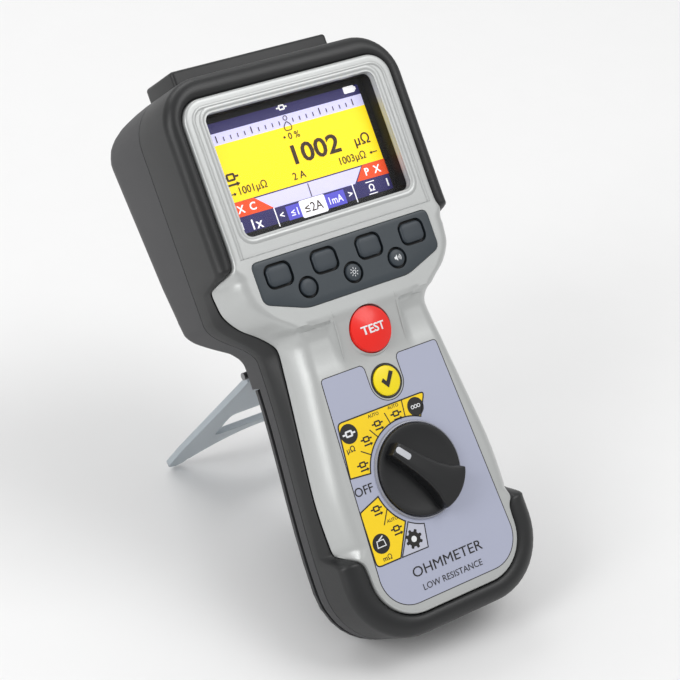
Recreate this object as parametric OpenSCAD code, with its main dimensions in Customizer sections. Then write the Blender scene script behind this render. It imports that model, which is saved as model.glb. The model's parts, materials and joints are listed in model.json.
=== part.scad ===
// Hand-held low-resistance ohmmeter, leaning back on its open rear stand.
// Every piece is drawn in the meter's own frame: X to the right, Y up the
// meter from the knob's axis, Z out of the face from the range label.
// placed() then leans the meter back and sets it down on the floor.

/* [Case] */
// Width of the head
head_w = 105; // [98:0.5:112]
// Width of the waist, where a hand closes round the meter
waist_w = 76; // [72:0.5:82]
// Width of the handle at its widest
handle_w = 87; // [84:0.5:94]
// Knob axis to the top of the head
head_rise = 163.5; // [158:0.5:176]
// Knob axis to the level where the head reaches its full width
shoulder_rise = 77; // [74:0.5:80]
// Knob axis to the waist
waist_rise = 57; // [55:0.5:60]
// Knob axis to the foot of the case
foot_drop = 58; // [57:0.5:68]
// Radius of the head's top corners
head_r = 18; // [14:0.5:22]
// Radius of the foot's corners
foot_r = 26; // [22:0.5:29]
// Depth of the head behind the range label
head_depth = 61; // [56:0.5:70]
// Depth of the handle behind the range label
handle_depth = 33.5; // [32:0.5:36]
// Radius of the long edges at the handle's back
back_r = 5; // [3:0.5:5]
// Depth at which the front and rear mouldings meet
seam = 20; // [19:0.5:21]
// Wall of the hard mouldings
wall = 2.4; // [1.8:0.1:2.8]
// Thickness of the soft bumper over the hard front shell
bumper_skin = 2.5; // [2:0.1:3]

/* [Silver face] */
// Width of the silver bezel on the head
bezel_w = 92; // [90:0.5:94]
// Knob axis to the top of the silver bezel
bezel_rise = 155.5; // [152:0.5:157]
// Width of the silver shoulders beside the keypad
shoulder_w = 97; // [94:0.5:99]
// Width of the silver face at the waist
face_waist_w = 71; // [68:0.5:72]
// Width of the silver face on the handle
face_handle_w = 73; // [70:0.5:78]
// Knob axis to the bottom of the silver face
face_drop = 50.5; // [49:0.5:54]
// Height of the head's face above the range label
head_face = 3.4; // [2.6:0.1:4.2]
// Level of the step between the head's face and the handle's face
face_step = 65; // [63:0.5:68]

/* [Display] */
// Width of the display opening
display_w = 75.2; // [60:0.2:77]
// Height of the display opening
display_h = 47.6; // [38:0.2:50]
// Knob axis to the middle of the display
display_rise = 124.8; // [123:0.2:126]
// Thickness of the display window
window_t = 1.5; // [1:0.1:1.6]
// Thickness of the display module
module_t = 4.7; // [3.6:0.1:4.8]

/* [Keypad] */
// Distance between neighbouring soft keys
key_pitch = 20.2; // [18:0.1:20.6]
// Knob axis to the row of soft keys
soft_rise = 85; // [84:0.1:86]
// Knob axis to the row of round keys
round_rise = 77.4; // [77:0.1:77.8]
// Width of a soft key
soft_w = 10; // [8:0.1:11]
// Height of a soft key
soft_h = 7.8; // [6:0.1:8.2]
// Radius of a round key
round_r = 3.3; // [2.6:0.1:3.5]
// Travel of a keypad key
key_travel = 1; // [0.6:0.1:1.1]
// Gap round a moving key or button
key_gap = 0.35; // [0.2:0.05:0.5]

/* [Buttons and knob] */
// Knob axis to the test button
test_rise = 55.5; // [54:0.1:55.6]
// Radius of the test button
test_r = 8.95; // [7:0.05:9.2]
// Travel of the test button
test_travel = 1.6; // [1:0.1:1.8]
// Knob axis to the OK button
ok_rise = 35.2; // [33:0.1:36]
// Radius of the OK button
ok_r = 5.7; // [4.5:0.1:6.4]
// Travel of the OK button
ok_travel = 1.2; // [0.8:0.1:1.6]
// Radius of the knob's disc
knob_r = 17.6; // [14.5:0.1:19]
// Height of the knob's grip above the range label
knob_h = 7; // [5.5:0.5:9]
// Direction of the knob's pointer, counted anticlockwise from the right
knob_angle = 132; // [84:24:252]
// Radius of the knob's shaft
shaft_r = 3; // [2.5:0.1:3.2]
// Radial clearance of the shaft in the rotary switch
shaft_fit = 0.05; // [0.02:0.01:0.08]

/* [Sockets] */
// Bore radius of a test lead socket
socket_r = 2; // [1.6:0.1:2.4]
// Depth of the bore in a socket sleeve
socket_l = 20; // [15:1:22]
// Distance between neighbouring sockets
socket_pitch = 16; // [15:0.5:18]
// Width of the terminal block
terminal_w = 70; // [68:0.5:80]
// Height of the terminal block above the head
terminal_h = 6.5; // [4:0.5:9]
// Depth of the sockets behind the range label
socket_depth = 31; // [29:0.5:33]

/* [Stand] */
// How far the meter leans back from upright
lean = 40; // [34:1:45]
// Angle that the stand opens through
stand_open = 75.3; // [72:0.1:80]
// Knob axis to the stand's pivot
pivot_rise = 54.2; // [53.5:0.1:55]
// Gap between the folded stand and the back of the meter
stand_gap = 0.7; // [0.4:0.1:1.2]
// Thickness of the stand's plate
stand_t = 2.6; // [2:0.1:3]
// Width of the stand at its feet
stand_w = 76; // [73:0.5:80]
// Radius of the stand's steel pivot pins
pin_r = 1.5; // [1:0.1:1.7]
// Radial clearance of the stand on its pins
pin_fit = 0.05; // [0.02:0.01:0.08]

/* [Battery] */
// Radius of a cell
cell_r = 7.15; // [5:0.05:7.2]
// Length of a cell
cell_l = 50; // [40:0.5:50.5]
// Distance between neighbouring cells
cell_pitch = 15; // [14.6:0.1:15.3]
// Depth at which the battery cover starts
cover_depth = 28; // [27.5:0.1:28.5]
// Top edge of the battery cover
cover_rise = 48; // [47.6:0.1:48.6]

/* [Hidden] */
$fn = 48;

far = 200;               // longer than the meter in every direction
slip = 0.1;              // gap between fixed pieces that are put together
label_t = 0.3;           // thickness of the printed range label
face_t = wall;           // thickness of the silver face
flange_depth = 3;        // depth at which the face widens into the hard shell
inset = bumper_skin + wall;

// Levels through the head, from the face inwards
window_top = head_face - face_t - slip;
gasket_top = window_top - window_t - slip;
gasket_t = 0.8;
module_top = gasket_top - gasket_t - slip;
board_top = -8;
board_t = 1.6;
board_back = board_top - board_t;

// Keypad
fascia_t = 2.5;
fascia_top = head_face + 0.3;
fascia_low = fascia_top - fascia_t;
key_top = fascia_top + 0.7;
key_flange_t = 0.9;
key_flange_top = fascia_low - 0.4;
key_flange_low = key_flange_top - key_flange_t;
mat_top = key_flange_low - key_travel - 0.3;
mat_t = 1.2;
fascia_w = 79.7;
fascia_low_w = 45.7;
fascia_rise = 91.8;      // top edge
fascia_corner = 76.2;    // where the slanted lower corners begin
fascia_drop = 70.2;      // bottom edge
soft_x = [for (i = [0:3]) (i - 1.5) * key_pitch];
round_x = [for (i = [0:2]) (i - 1) * key_pitch];

// Buttons
button_flange_top = -face_t - key_gap;
button_flange_t = 1.2;
button_foot = -5;
tact_top = button_foot - max(test_travel, ok_travel) - 0.3;

// Case screws: one set of four in the head, one of four in the handle
screw_r = 1.45;
web_l = 9;
web_t = 2;
screw_head_r = 2.7;
screw_head_t = 2.3;
screw_seat = -24;
boss_r = 3.1;
head_screws = [for (x = [-1, 1], y = [88, 144]) [x * (head_w / 2 - 8.3), y]];
handle_screws = [for (x = [-1, 1]) each [
    [x * (waist_w / 2 - 5.7), 41], [x * (handle_w / 2 - 10), -40]]];
screw_places = concat(head_screws, handle_screws);

// Terminal block
terminal_top = head_rise + terminal_h;
terminal_low = head_rise - 6.5;
terminal_front = -15;
terminal_back = -46;
terminal_corner = 7;
shroud_r = 5.4;
shroud_l = 7;
sleeve_r = 3.2;
sleeve_top = terminal_top - shroud_l + 4;
socket_x = [for (i = [0:3]) (i - 1.5) * socket_pitch];
sleeve_low = sleeve_top - socket_l - 3;
terminal_board_t = 1.6;

// Battery bay
tray_wall = 1.4;
tray_w = cell_l + 7;
tray_h = 6 * cell_pitch + 4;
tray_floor = board_back - 1.4;
cell_w_pos = tray_floor - tray_wall - cell_r - 0.1;
cell_y = [for (i = [0:5]) (i - 2.5) * cell_pitch];
cover_screws_at = [for (x = [-1, 1]) [x * 12, 6.8 - foot_drop]];
cover_tabs = [-18, 18];

// Stand
pivot_depth = handle_depth + stand_gap + stand_t / 2;
hub_r = 3;
ear_t = 3.2;
stand_top_w = waist_w - 7;
ear_r = 4.4;
foot_pad_r = 4.5;
window_w = 50;
window_top_s = 48;
window_low_s = 72;
arch_s = 79;             // where the arch between the feet ends

function y_of(v, w) = v * sin(lean) - w * cos(lean);
function z_of(v, w) = v * cos(lean) + w * sin(lean);
// Lowest line of the leaning case, on the rounded edge of the battery cover
floor_z = z_of(back_r - foot_drop, back_r - handle_depth) - back_r;
stand_dz = z_of(-cos(stand_open), -sin(stand_open));
stand_nz = abs(z_of(sin(stand_open), -cos(stand_open)));
stand_l = (floor_z + stand_t / 2 * stand_nz - z_of(pivot_rise, -pivot_depth)) / stand_dz;
front_y = y_of(-foot_drop, label_t);
back_y = max(y_of(head_rise - 7.5, 3 - head_depth), y_of(terminal_top, terminal_back + terminal_corner / 2));

module placed() {
    translate([0, -(front_y + back_y) / 2, -floor_z])
        rotate([90 - lean, 0, 0]) children();
}

function arc(c, r, a0, a1, n) =
    [for (i = [0:n]) let (a = a0 + (a1 - a0) * i / n) [c[0] + r * cos(a), c[1] + r * sin(a)]];
function ease(t) = (1 - cos(180 * t)) / 2;
function bend(x0, y0, x1, y1, n) =
    [for (i = [1:n]) let (t = i / n) [x0 + (x1 - x0) * ease(t), y0 + (y1 - y0) * t]];
function both_sides(half) =
    concat(half, [for (i = [len(half) - 1:-1:0]) [-half[i][0], half[i][1]]]);

// Outline of the whole case, drawn in by g
function case_outline(g) = both_sides(concat(
    arc([handle_w / 2 - foot_r, foot_r - foot_drop], foot_r - g, -90, 0, 8),
    bend(handle_w / 2 - g, foot_r - foot_drop, waist_w / 2 - g, waist_rise, 6),
    bend(waist_w / 2 - g, waist_rise, head_w / 2 - g, shoulder_rise, 6),
    arc([head_w / 2 - head_r, head_rise - head_r], head_r - g, 0, 90, 8)));

// Outline of the silver face, drawn in by g
face_foot_r = 19;
bezel_r = 9;
function face_outline(g) = both_sides(concat(
    arc([face_handle_w / 2 - face_foot_r, face_foot_r - face_drop], face_foot_r - g, -90, 0, 8),
    bend(face_handle_w / 2 - g, face_foot_r - face_drop, face_waist_w / 2 - g, waist_rise - 4, 6),
    bend(face_waist_w / 2 - g, waist_rise - 4, shoulder_w / 2 - g, shoulder_rise, 6),
    bend(shoulder_w / 2 - g, shoulder_rise + 6, bezel_w / 2 - g, shoulder_rise + 18, 4),
    arc([bezel_w / 2 - bezel_r, bezel_rise - bezel_r], bezel_r - g, 0, 90, 8)));

// A slab between two levels, from an outline
module slab(points, low, high) {
    translate([0, 0, low]) linear_extrude(high - low) polygon(points);
}

// A slab with rounded corners, its middle at [x, y]
module pad(x, y, w, h, r, low, high) {
    translate([x, y, low]) linear_extrude(high - low) union() {
        square([w - 2 * r, h], center = true);
        square([w, h - 2 * r], center = true);
        for (i = [-1, 1], j = [-1, 1])
            translate([i * (w / 2 - r), j * (h / 2 - r)]) circle(r);
    }
}

// A round post between two levels
module post(x, y, r, low, high) {
    translate([x, y, low]) cylinder(r = r, h = high - low);
}

// Everything above or below a level of the meter
module above(level) { translate([-far, level, -far]) cube(2 * far); }
module below(level) { translate([-far, level - 2 * far, -far]) cube(2 * far); }

// A bar with the outline [y, z], from side to side of the meter
module across(points, half) {
    rotate([90, 0, 90]) translate([0, 0, -half]) linear_extrude(2 * half) polygon(points);
}

function keypad_outline(g) = both_sides([
    [fascia_low_w / 2 - g / 2, fascia_drop + g],
    [fascia_w / 2 - g, fascia_corner + g / 2],
    [fascia_w / 2 - g, fascia_rise - g]]);

module front_shell() {
    color("silver") placed() difference() {
        union() {
            slab(case_outline(bumper_skin), -seam, -flange_depth);
            intersection() { slab(face_outline(0), -seam, label_t); below(face_step); }
            intersection() { slab(face_outline(0), -seam, head_face); above(face_step); }
            post(0, test_rise, test_r + 2.2, -face_t, 2.2);
        }
        difference() {
            union() {
                slab(case_outline(inset), -seam - 1, -flange_depth - wall);
                intersection() { slab(face_outline(wall), -seam - 1, -face_t); below(face_step); }
                intersection() { slab(face_outline(wall), -seam - 1, head_face - face_t); above(face_step); }
            }
            for (p = screw_places) post(p[0], p[1], boss_r, -seam - 2, p[1] > face_step ? -3.5 : -1.5);
        }
        pad(0, display_rise, display_w, display_h, 3, -1, head_face + 1);
        slab(keypad_outline(-slip), -1, head_face + 1);
        post(0, test_rise, test_r + key_gap, -far / 4, far / 4);
        post(0, ok_rise, ok_r + key_gap, -far / 4, far / 4);
        post(0, 0, shaft_r + 1, -far / 4, far / 4);
        difference() {
            slab(label_outline(-slip), 0, 1);
            above(face_step - 1);
        }
        for (p = screw_places) post(p[0], p[1], screw_r + 0.05, -seam - 1, -8);
        terminal_space();
    }
}

module bumper() {
    color([0.13, 0.13, 0.14]) placed() difference() {
        union() {
            slab(case_outline(0), -seam, -flange_depth);
            intersection() { slab(case_outline(0), -seam, 0); below(face_step); }
            intersection() { slab(case_outline(0), -seam, head_face - 0.8); above(face_step); }
        }
        slab(case_outline(bumper_skin), -seam - 1, -flange_depth);
        slab(face_outline(0), -seam - 1, head_face + 1);
        terminal_space();
    }
}

// Side view of the rear moulding, drawn in by g
function head_back(g) = [
    [waist_rise + 6, -handle_depth + g], [waist_rise + 10 + g, -handle_depth - 5 + g],
    [waist_rise + 15 + g / 2, 16.3 - head_depth + g], [waist_rise + 24, 10.3 - head_depth + g],
    [waist_rise + 39, 7 - head_depth + g], [head_rise - 15.5, g - head_depth],
    [head_rise - 7.5 - g / 2, 3 - head_depth + g], [head_rise - 2.5 - g, 15 - head_depth + g / 2],
    [head_rise + 1 - g, -seam - 8]];

module rear_shell() {
    color([0.24, 0.24, 0.26]) placed() difference() {
        union() {
            intersection() {
                difference() {
                    slab(case_outline(0), -far / 2, -seam);
                    slab(case_outline(wall), -far, -seam + 1);
                }
                rear_profile(0);
            }
            intersection() {
                slab(case_outline(0), -far / 2, -seam);
                difference() { rear_profile(0); rear_profile(wall); }
                above(cover_rise);
            }
            intersection() {
                union() {
                    for (p = handle_screws) post(p[0], p[1], boss_r, -cover_depth + 0.3, -seam);
                    for (p = cover_screws_at) post(p[0], p[1], boss_r, -cover_depth, -seam);
                    // Webs that tie the posts to the wall beside them
                    for (p = handle_screws) translate([p[0] > 0 ? p[0] : p[0] - web_l, p[1] - web_t / 2, -cover_depth + 0.3])
                        cube([web_l, web_t, cover_depth - 0.3 - seam]);
                    for (p = cover_screws_at) translate([p[0] - web_t / 2, p[1] - web_l, -cover_depth])
                        cube([web_t, web_l, cover_depth - seam]);
                    for (p = head_screws) post(p[0], p[1], boss_r + 1, -far / 2, -seam);
                }
                rear_profile(0);
                slab(case_outline(1), -far / 2, -seam);
            }
            for (x = [-1, 1]) translate([x * ear_x, 0, 0]) ear();
        }
        for (p = screw_places) {
            post(p[0], p[1], screw_r + 0.25, -far / 2, -seam + 1);
            post(p[0], p[1], screw_head_r + 0.2, -far / 2, screw_seat);
        }
        for (p = cover_screws_at) post(p[0], p[1], screw_r + 0.05, -cover_depth - 1, -seam + 1);
        terminal_space();
        slab_ring(0.8, 1.6, -seam - 0.8, -seam + 1);
        // Groove that the stand's hub turns in
        stand_axis() cylinder(r = hub_r + 0.5, h = stand_top_w + 0.6, center = true);
        stand_axis() cylinder(r = pin_r, h = 2 * ear_x + ear_t, center = true);
        for (x = cover_tabs) translate([x - 4.2, cover_rise - 1, -cover_depth - 2.3]) cube([8.4, 4, 1.9]);
    }
}

ear_x = stand_top_w / 2 + 0.3 + ear_t / 2;

module stand_axis() { translate([0, pivot_rise, -pivot_depth]) rotate([0, 90, 0]) children(); }

// One of the two ears that hold the stand's pins
module ear() {
    translate([-ear_t / 2, 0, 0]) {
        translate([0, pivot_rise, -pivot_depth]) rotate([0, 90, 0]) cylinder(r = ear_r, h = ear_t);
        translate([0, pivot_rise - ear_r, -pivot_depth]) cube([ear_t, 2 * ear_r, pivot_depth - handle_depth + 4]);
    }
}

// Solid bar with the rear moulding's side view
module rear_profile(g) {
    across(concat([[-foot_drop - 1, 5], [-foot_drop - 1, -cover_depth], [cover_rise, -cover_depth],
        [cover_rise, -handle_depth + g * 2.8]], [[waist_rise + 4 - g / 2, -handle_depth + g * 2.8]],
        head_back(g), [[head_rise + 1 - g, 5]]), far);
}

module slab_ring(outer, inner, low, high) {
    difference() {
        slab(case_outline(outer), low, high);
        slab(case_outline(inner), low - 1, high + 1);
    }
}

module case_seal() {
    color([0.05, 0.05, 0.05]) placed() difference() {
        slab_ring(0.8, 1.6, -seam - 0.8, -seam);
        terminal_space();
    }
}

module case_screws() {
    color([0.6, 0.6, 0.62]) placed() for (p = screw_places) translate([p[0], p[1], screw_seat]) difference() {
        union() {
            translate([0, 0, -screw_head_t]) cylinder(r = screw_head_r, h = screw_head_t);
            cylinder(r = screw_r, h = 14.5);
        }
        translate([0, 0, -screw_head_t - 1]) cylinder(r = 1.4, h = 2.2, $fn = 6);
    }
}

module display_window() {
    color([0.85, 0.9, 0.95, 0.4]) placed()
        pad(0, display_rise, display_w + 4, display_h + 4, 2, window_top - window_t, window_top);
}

module display_gasket() {
    color([0.1, 0.1, 0.1]) placed() difference() {
        pad(0, display_rise, display_w + 4, display_h + 4, 2, gasket_top - gasket_t, gasket_top);
        pad(0, display_rise, display_w + 0.6, display_h + 0.6, 2, gasket_top - gasket_t - 1, gasket_top + 1);
    }
}

module display_module() {
    color([0.95, 0.8, 0.1]) placed()
        pad(0, display_rise, display_w + 4.6, display_h + 5, 1, module_top - module_t, module_top);
}

module keypad_fascia() {
    color([0.22, 0.26, 0.29]) placed() difference() {
        slab(keypad_outline(0), fascia_low, fascia_top);
        for (x = soft_x) pad(x, soft_rise, soft_w + 2 * key_gap, soft_h + 2 * key_gap, 2.2 + key_gap, -far, far);
        for (x = round_x) post(x, round_rise, round_r + key_gap, -far / 4, far / 4);
    }
}

module keypad_mat() {
    color([0.15, 0.15, 0.16]) placed() difference() {
        union() {
            slab(keypad_outline(1.5), mat_top - mat_t, mat_top);
            for (x = soft_x) post(x, soft_rise, 2.2, board_top, mat_top);
            for (x = round_x) post(x, round_rise, 1.6, board_top, mat_top);
        }
    }
}

module soft_key(i) {
    color([0.3, 0.34, 0.37]) placed() {
        pad(soft_x[i], soft_rise, soft_w, soft_h, 2.2, key_flange_low, key_top);
        pad(soft_x[i], soft_rise, soft_w + 1.4, soft_h + 1.2, 2.8, key_flange_low, key_flange_top);
    }
}
module soft_key_1() { soft_key(0); }
module soft_key_2() { soft_key(1); }
module soft_key_3() { soft_key(2); }
module soft_key_4() { soft_key(3); }

module round_key(i) {
    color([0.3, 0.34, 0.37]) placed() {
        post(round_x[i], round_rise, round_r, key_flange_low, key_top);
        post(round_x[i], round_rise, round_r + 0.9, key_flange_low, key_flange_top);
    }
}
module round_key_1() { round_key(0); }
module round_key_2() { round_key(1); }
module round_key_3() { round_key(2); }

// Outline of the range label, drawn in by g; it widens towards the foot
label_rise = 43.8;
label_top_w = 53;
label_low_w = 62;
label_drop = 46;
label_r = 13;
function label_outline(g) = both_sides(concat(
    arc([label_low_w / 2 - label_r, label_r - label_drop], label_r - g, -90, 0, 6),
    [[label_top_w / 2 - g, label_rise - 1 - g], [label_top_w / 2 - 1 - g, label_rise - g]]));

module range_label() {
    color([0.68, 0.68, 0.76]) placed() difference() {
        slab(label_outline(0), 0, label_t);
        post(0, ok_rise, ok_r + 1.6, -1, 1);
        translate([-ok_r - 1.6, ok_rise, -1]) cube([2 * ok_r + 3.2, 20, 2]);
        post(0, 0, shaft_r + 1, -1, 1);
    }
}

knob_disc_top = 2.6;
shaft_top = knob_h - 1.5;

module knob_collar() {
    color([0.75, 0.76, 0.8]) placed() difference() {
        post(0, 0, knob_r + 1.65, label_t, knob_disc_top - 1);
        post(0, 0, knob_r + 0.35, -far / 4, far / 4);
    }
}

function grip_outline() = let (r = knob_r) concat(
    arc([0, 0], r - 0.6, -32, 32, 8),
    [[0.3 * r, 0.34 * r], [-0.3 * r, 0.23 * r], [-0.88 * r, 0.17 * r]],
    [[-0.88 * r, -0.17 * r], [-0.3 * r, -0.23 * r], [0.3 * r, -0.34 * r]]);

module turned() { rotate([0, 0, knob_angle - 180]) children(); }

module knob() {
    color([0.1, 0.1, 0.11]) placed() difference() {
        union() {
            post(0, 0, knob_r, label_t + 0.7, knob_disc_top);
            turned() slab(grip_outline(), knob_disc_top - 1, knob_h);
        }
        post(0, 0, shaft_r, -1, shaft_top);
        turned() pad(-0.62 * knob_r, 0, 6.4, 2.2, 0.6, knob_h - 0.5, knob_h + 1);
    }
}

module knob_shaft() {
    color([0.7, 0.7, 0.72]) placed() post(0, 0, shaft_r, board_top + 0.4, shaft_top);
}

module knob_pointer() {
    color([0.75, 0.75, 0.78]) placed() turned() pad(-0.62 * knob_r, 0, 6.4, 2.2, 0.6, knob_h - 0.5, knob_h);
}

// A button with a retaining flange and a foot that works a switch
module button(rise, r, top, dome) {
    translate([0, rise, 0]) {
        intersection() {
            post(0, 0, r, button_flange_top - 0.5, top + dome);
            translate([0, 0, top + dome - r * r / dome / 2]) sphere(r = r * r / dome / 2 + dome / 6, $fn = 64);
        }
        post(0, 0, r + 1.1, button_flange_top - button_flange_t, button_flange_top);
        post(0, 0, 1.6, button_foot, button_flange_top);
    }
}
module test_button() { color([0.9, 0.1, 0.05]) placed() button(test_rise, test_r, 2.6, 1.8); }
module ok_button() { color([0.98, 0.88, 0.05]) placed() button(ok_rise, ok_r, 0.9, 0.5); }

module tact_switches() {
    color([0.1, 0.1, 0.1]) placed() for (y = [test_rise, ok_rise])
        translate([-3, y - 3, board_top]) cube([6, 6, tact_top - board_top]);
}

module rotary_switch() {
    color([0.2, 0.35, 0.3]) placed() difference() {
        union() {
            post(0, 0, 14, board_top, -5);
            post(0, 0, 6, board_top, -face_t - 0.6);
        }
        post(0, 0, shaft_r + shaft_fit, board_top - 1, 1);
    }
}

module main_board() {
    color([0.05, 0.35, 0.15]) placed() difference() {
        slab(case_outline(inset + 1), board_back, board_top);
        for (p = screw_places) post(p[0], p[1], boss_r + 0.5, -far / 4, far / 4);
        above(151);
    }
}

module buzzer() {
    color([0.08, 0.08, 0.08]) placed() difference() {
        post(28, 104, 6, board_back - 4, board_back);
        post(28, 104, 1, board_back - 5, board_back - 3);
    }
}

measuring_top = -32;
measuring_back = measuring_top - board_t;
spacer_at = [for (x = [-1, 1], y = [98, 130]) [x * 36, y]];

module measuring_board() {
    color([0.05, 0.3, 0.35]) placed() difference() {
        pad(0, 112, 80, 44, 2, measuring_back, measuring_top);
        for (p = spacer_at) post(p[0], p[1], 1.6, -far / 4, far / 4);
    }
}

module board_spacers() {
    color([0.8, 0.7, 0.4]) placed() for (p = spacer_at) post(p[0], p[1], 2.6, measuring_top, board_back);
}

module heat_sink() {
    color([0.7, 0.7, 0.72]) placed() {
        translate([6, 112, measuring_back - 3]) cube([26, 20, 3]);
        for (i = [0:5]) translate([6 + i * 4.9, 112, measuring_back - 13]) cube([1.5, 20, 10]);
    }
}

module current_shunt() {
    color([0.7, 0.5, 0.35]) placed() {
        translate([-32, 104, measuring_back - 6]) cube([30, 8, 2]);
        for (x = [-32, -4]) translate([x, 104, measuring_back - 4]) cube([2, 8, 4]);
    }
}

fuse_y = 96;
fuse_z = measuring_back - 5.5;

module fuse() {
    color([0.9, 0.9, 0.85]) placed() translate([-2, fuse_y, fuse_z]) rotate([0, 90, 0]) cylinder(r = 3.15, h = 32);
}

module fuse_clips() {
    color([0.75, 0.7, 0.5]) placed() for (x = [-2, 23]) difference() {
        translate([x, fuse_y - 4, fuse_z - 3]) cube([7, 8, measuring_back - fuse_z + 3]);
        translate([x - 1, fuse_y, fuse_z]) rotate([0, 90, 0]) cylinder(r = 3.2, h = 9);
        translate([x - 1, fuse_y - 2, fuse_z - 4]) cube([9, 4, 3]);
    }
}

// Plan of the terminal block, as [x, z]
function terminal_outline(g) = let (a = terminal_w / 2 - g, c = terminal_corner) [
    [-a, terminal_front - g], [a, terminal_front - g], [a, terminal_back + c],
    [a - c, terminal_back + g], [c - a, terminal_back + g], [-a, terminal_back + c]];

// A bar up the meter with a plan in [x, z], between two levels
module upright(points, low, high) {
    translate([0, high, 0]) rotate([90, 0, 0]) linear_extrude(high - low) polygon(points);
}

module terminal_space() { upright(terminal_outline(-slip), terminal_low - slip, far); }

// A round bar up the meter, at [x, z]
module pipe(x, z, r, low, high) {
    translate([x, high, z]) rotate([90, 0, 0]) cylinder(r = r, h = high - low);
}

module terminal_block() {
    color([0.16, 0.16, 0.17]) placed() difference() {
        upright(terminal_outline(0), terminal_low, terminal_top);
        for (x = socket_x) {
            pipe(x, -socket_depth, sleeve_r + 0.05, terminal_low - 1, terminal_top + 1);
            pipe(x, -socket_depth, shroud_r, terminal_top - shroud_l, terminal_top + 1);
        }
    }
}

module socket_sleeves() {
    color([0.8, 0.65, 0.3]) placed() for (x = socket_x) difference() {
        pipe(x, -socket_depth, sleeve_r, sleeve_low, sleeve_top);
        pipe(x, -socket_depth, socket_r, sleeve_top - socket_l, sleeve_top + 1);
    }
}

module terminal_board() {
    color([0.05, 0.35, 0.15]) placed() difference() {
        translate([-34, sleeve_low - terminal_board_t, -41]) cube([68, terminal_board_t, 18]);
        for (x = [-30, 30]) pipe(x, -socket_depth, 1.6, 0, far);
    }
}

module battery_tray() {
    color([0.12, 0.12, 0.13]) placed() difference() {
        translate([-tray_w / 2, -tray_h / 2, -cover_depth + 0.2]) cube([tray_w, tray_h, cover_depth - 0.2 + tray_floor]);
        translate([tray_wall - tray_w / 2, tray_wall - tray_h / 2, -cover_depth - 1])
            cube([tray_w - 2 * tray_wall, tray_h - 2 * tray_wall, cover_depth + 1 + tray_floor - tray_wall]);
    }
}

module lying(y) { translate([0, y, cell_w_pos]) rotate([0, 90, 0]) children(); }

module battery_cells() {
    color([0.75, 0.45, 0.15]) placed() for (i = [0:5]) lying(cell_y[i]) mirror([0, 0, i % 2]) {
        translate([0, 0, -cell_l / 2]) cylinder(r = cell_r, h = cell_l - 1);
        translate([0, 0, cell_l / 2 - 1]) cylinder(r = 2.7, h = 1);
    }
}

contact_t = 0.4;
contact_x = tray_w / 2 - tray_wall - contact_t;

module battery_contacts() {
    color([0.8, 0.8, 0.78]) placed() for (i = [0:5], s = [-1, 1])
        translate([s > 0 ? contact_x : -contact_x - contact_t, cell_y[i] - 5, cell_w_pos - 4]) cube([contact_t, 10, 9]);
}

// Each spring is drawn as a short stack of turns
module battery_springs() {
    color([0.7, 0.7, 0.7]) placed() for (i = [0:5]) lying(cell_y[i]) mirror([0, 0, i % 2])
        for (k = [0:1]) translate([0, 0, -contact_x + 0.35 + 0.7 * k])
            rotate_extrude() translate([3 - 0.4 * k, 0]) circle(0.35, $fn = 24);
}

module battery_cover() {
    color([0.27, 0.27, 0.29]) placed() difference() {
        intersection() {
            slab(case_outline(0), -far / 2, -cover_depth);
            across(concat([[cover_rise - slip, -cover_depth], [-foot_drop, -cover_depth]],
                arc([back_r - foot_drop, back_r - handle_depth], back_r, 180, 270, 8),
                [[cover_rise - slip, -handle_depth]]), far);
        }
        difference() {
            intersection() {
                slab(case_outline(wall), -handle_depth + wall, -cover_depth + 1);
                below(cover_rise - wall);
                above(wall + 1.2 - foot_drop);
            }
            for (p = cover_screws_at) post(p[0], p[1], boss_r, -far / 4, far / 4);
        }
        for (p = cover_screws_at) {
            post(p[0], p[1], screw_r + 0.25, -far / 4, far / 4);
            post(p[0], p[1], screw_head_r + 0.2, -far / 4, -handle_depth + 1.7);
        }
    }
    color([0.27, 0.27, 0.29]) placed()
        for (x = cover_tabs) translate([x - 4, cover_rise - wall, -cover_depth - 2.1]) cube([8, 4.2, 1.5]);
}

module cover_screws() {
    color([0.6, 0.6, 0.62]) placed() for (p = cover_screws_at) translate([p[0], p[1], -handle_depth + 1.7]) difference() {
        union() {
            translate([0, 0, -1.5]) cylinder(r = screw_head_r, h = 1.5);
            cylinder(r = screw_r, h = 9);
        }
        translate([0, 0, -2]) cylinder(r = 1.2, h = 1.4, $fn = 6);
    }
}

module stand_pins() {
    color([0.75, 0.75, 0.77]) placed() for (s = [-1, 1])
        translate([s * (ear_x - 2.4), 0, 0]) stand_axis() cylinder(r = pin_r, h = 2 * ear_t + 1.6, center = true);
}

// The stand's outline: X across, Y from the pivot towards the feet
module stand_plan() {
    a = stand_top_w / 2;
    b = stand_w / 2;
    difference() {
        union() {
            polygon(both_sides([[a - 0.5, hub_r * 0.8], [a - 0.5, 10], [b, stand_l - 22], [b, stand_l - foot_pad_r]]));
            for (s = [-1, 1]) translate([s * (b - foot_pad_r), stand_l - foot_pad_r]) circle(foot_pad_r);
        }
        translate([0, (window_top_s + window_low_s) / 2]) {
            square([window_w, window_low_s - window_top_s - 6], center = true);
            square([window_w - 6, window_low_s - window_top_s], center = true);
            for (i = [-1, 1], j = [-1, 1])
                translate([i * (window_w / 2 - 3), j * ((window_low_s - window_top_s) / 2 - 3)]) circle(3);
        }
        polygon(concat([[arch_half, stand_l + 5], [-arch_half, stand_l + 5]],
            [for (i = [0:32]) let (x = (i / 16 - 1) * arch_half) [x, arch_s + arch_h * x * x / arch_half / arch_half]]));
    }
}

arch_half = stand_w / 2 - 2 * foot_pad_r - 1;
arch_h = stand_l - foot_pad_r - arch_s;

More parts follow.
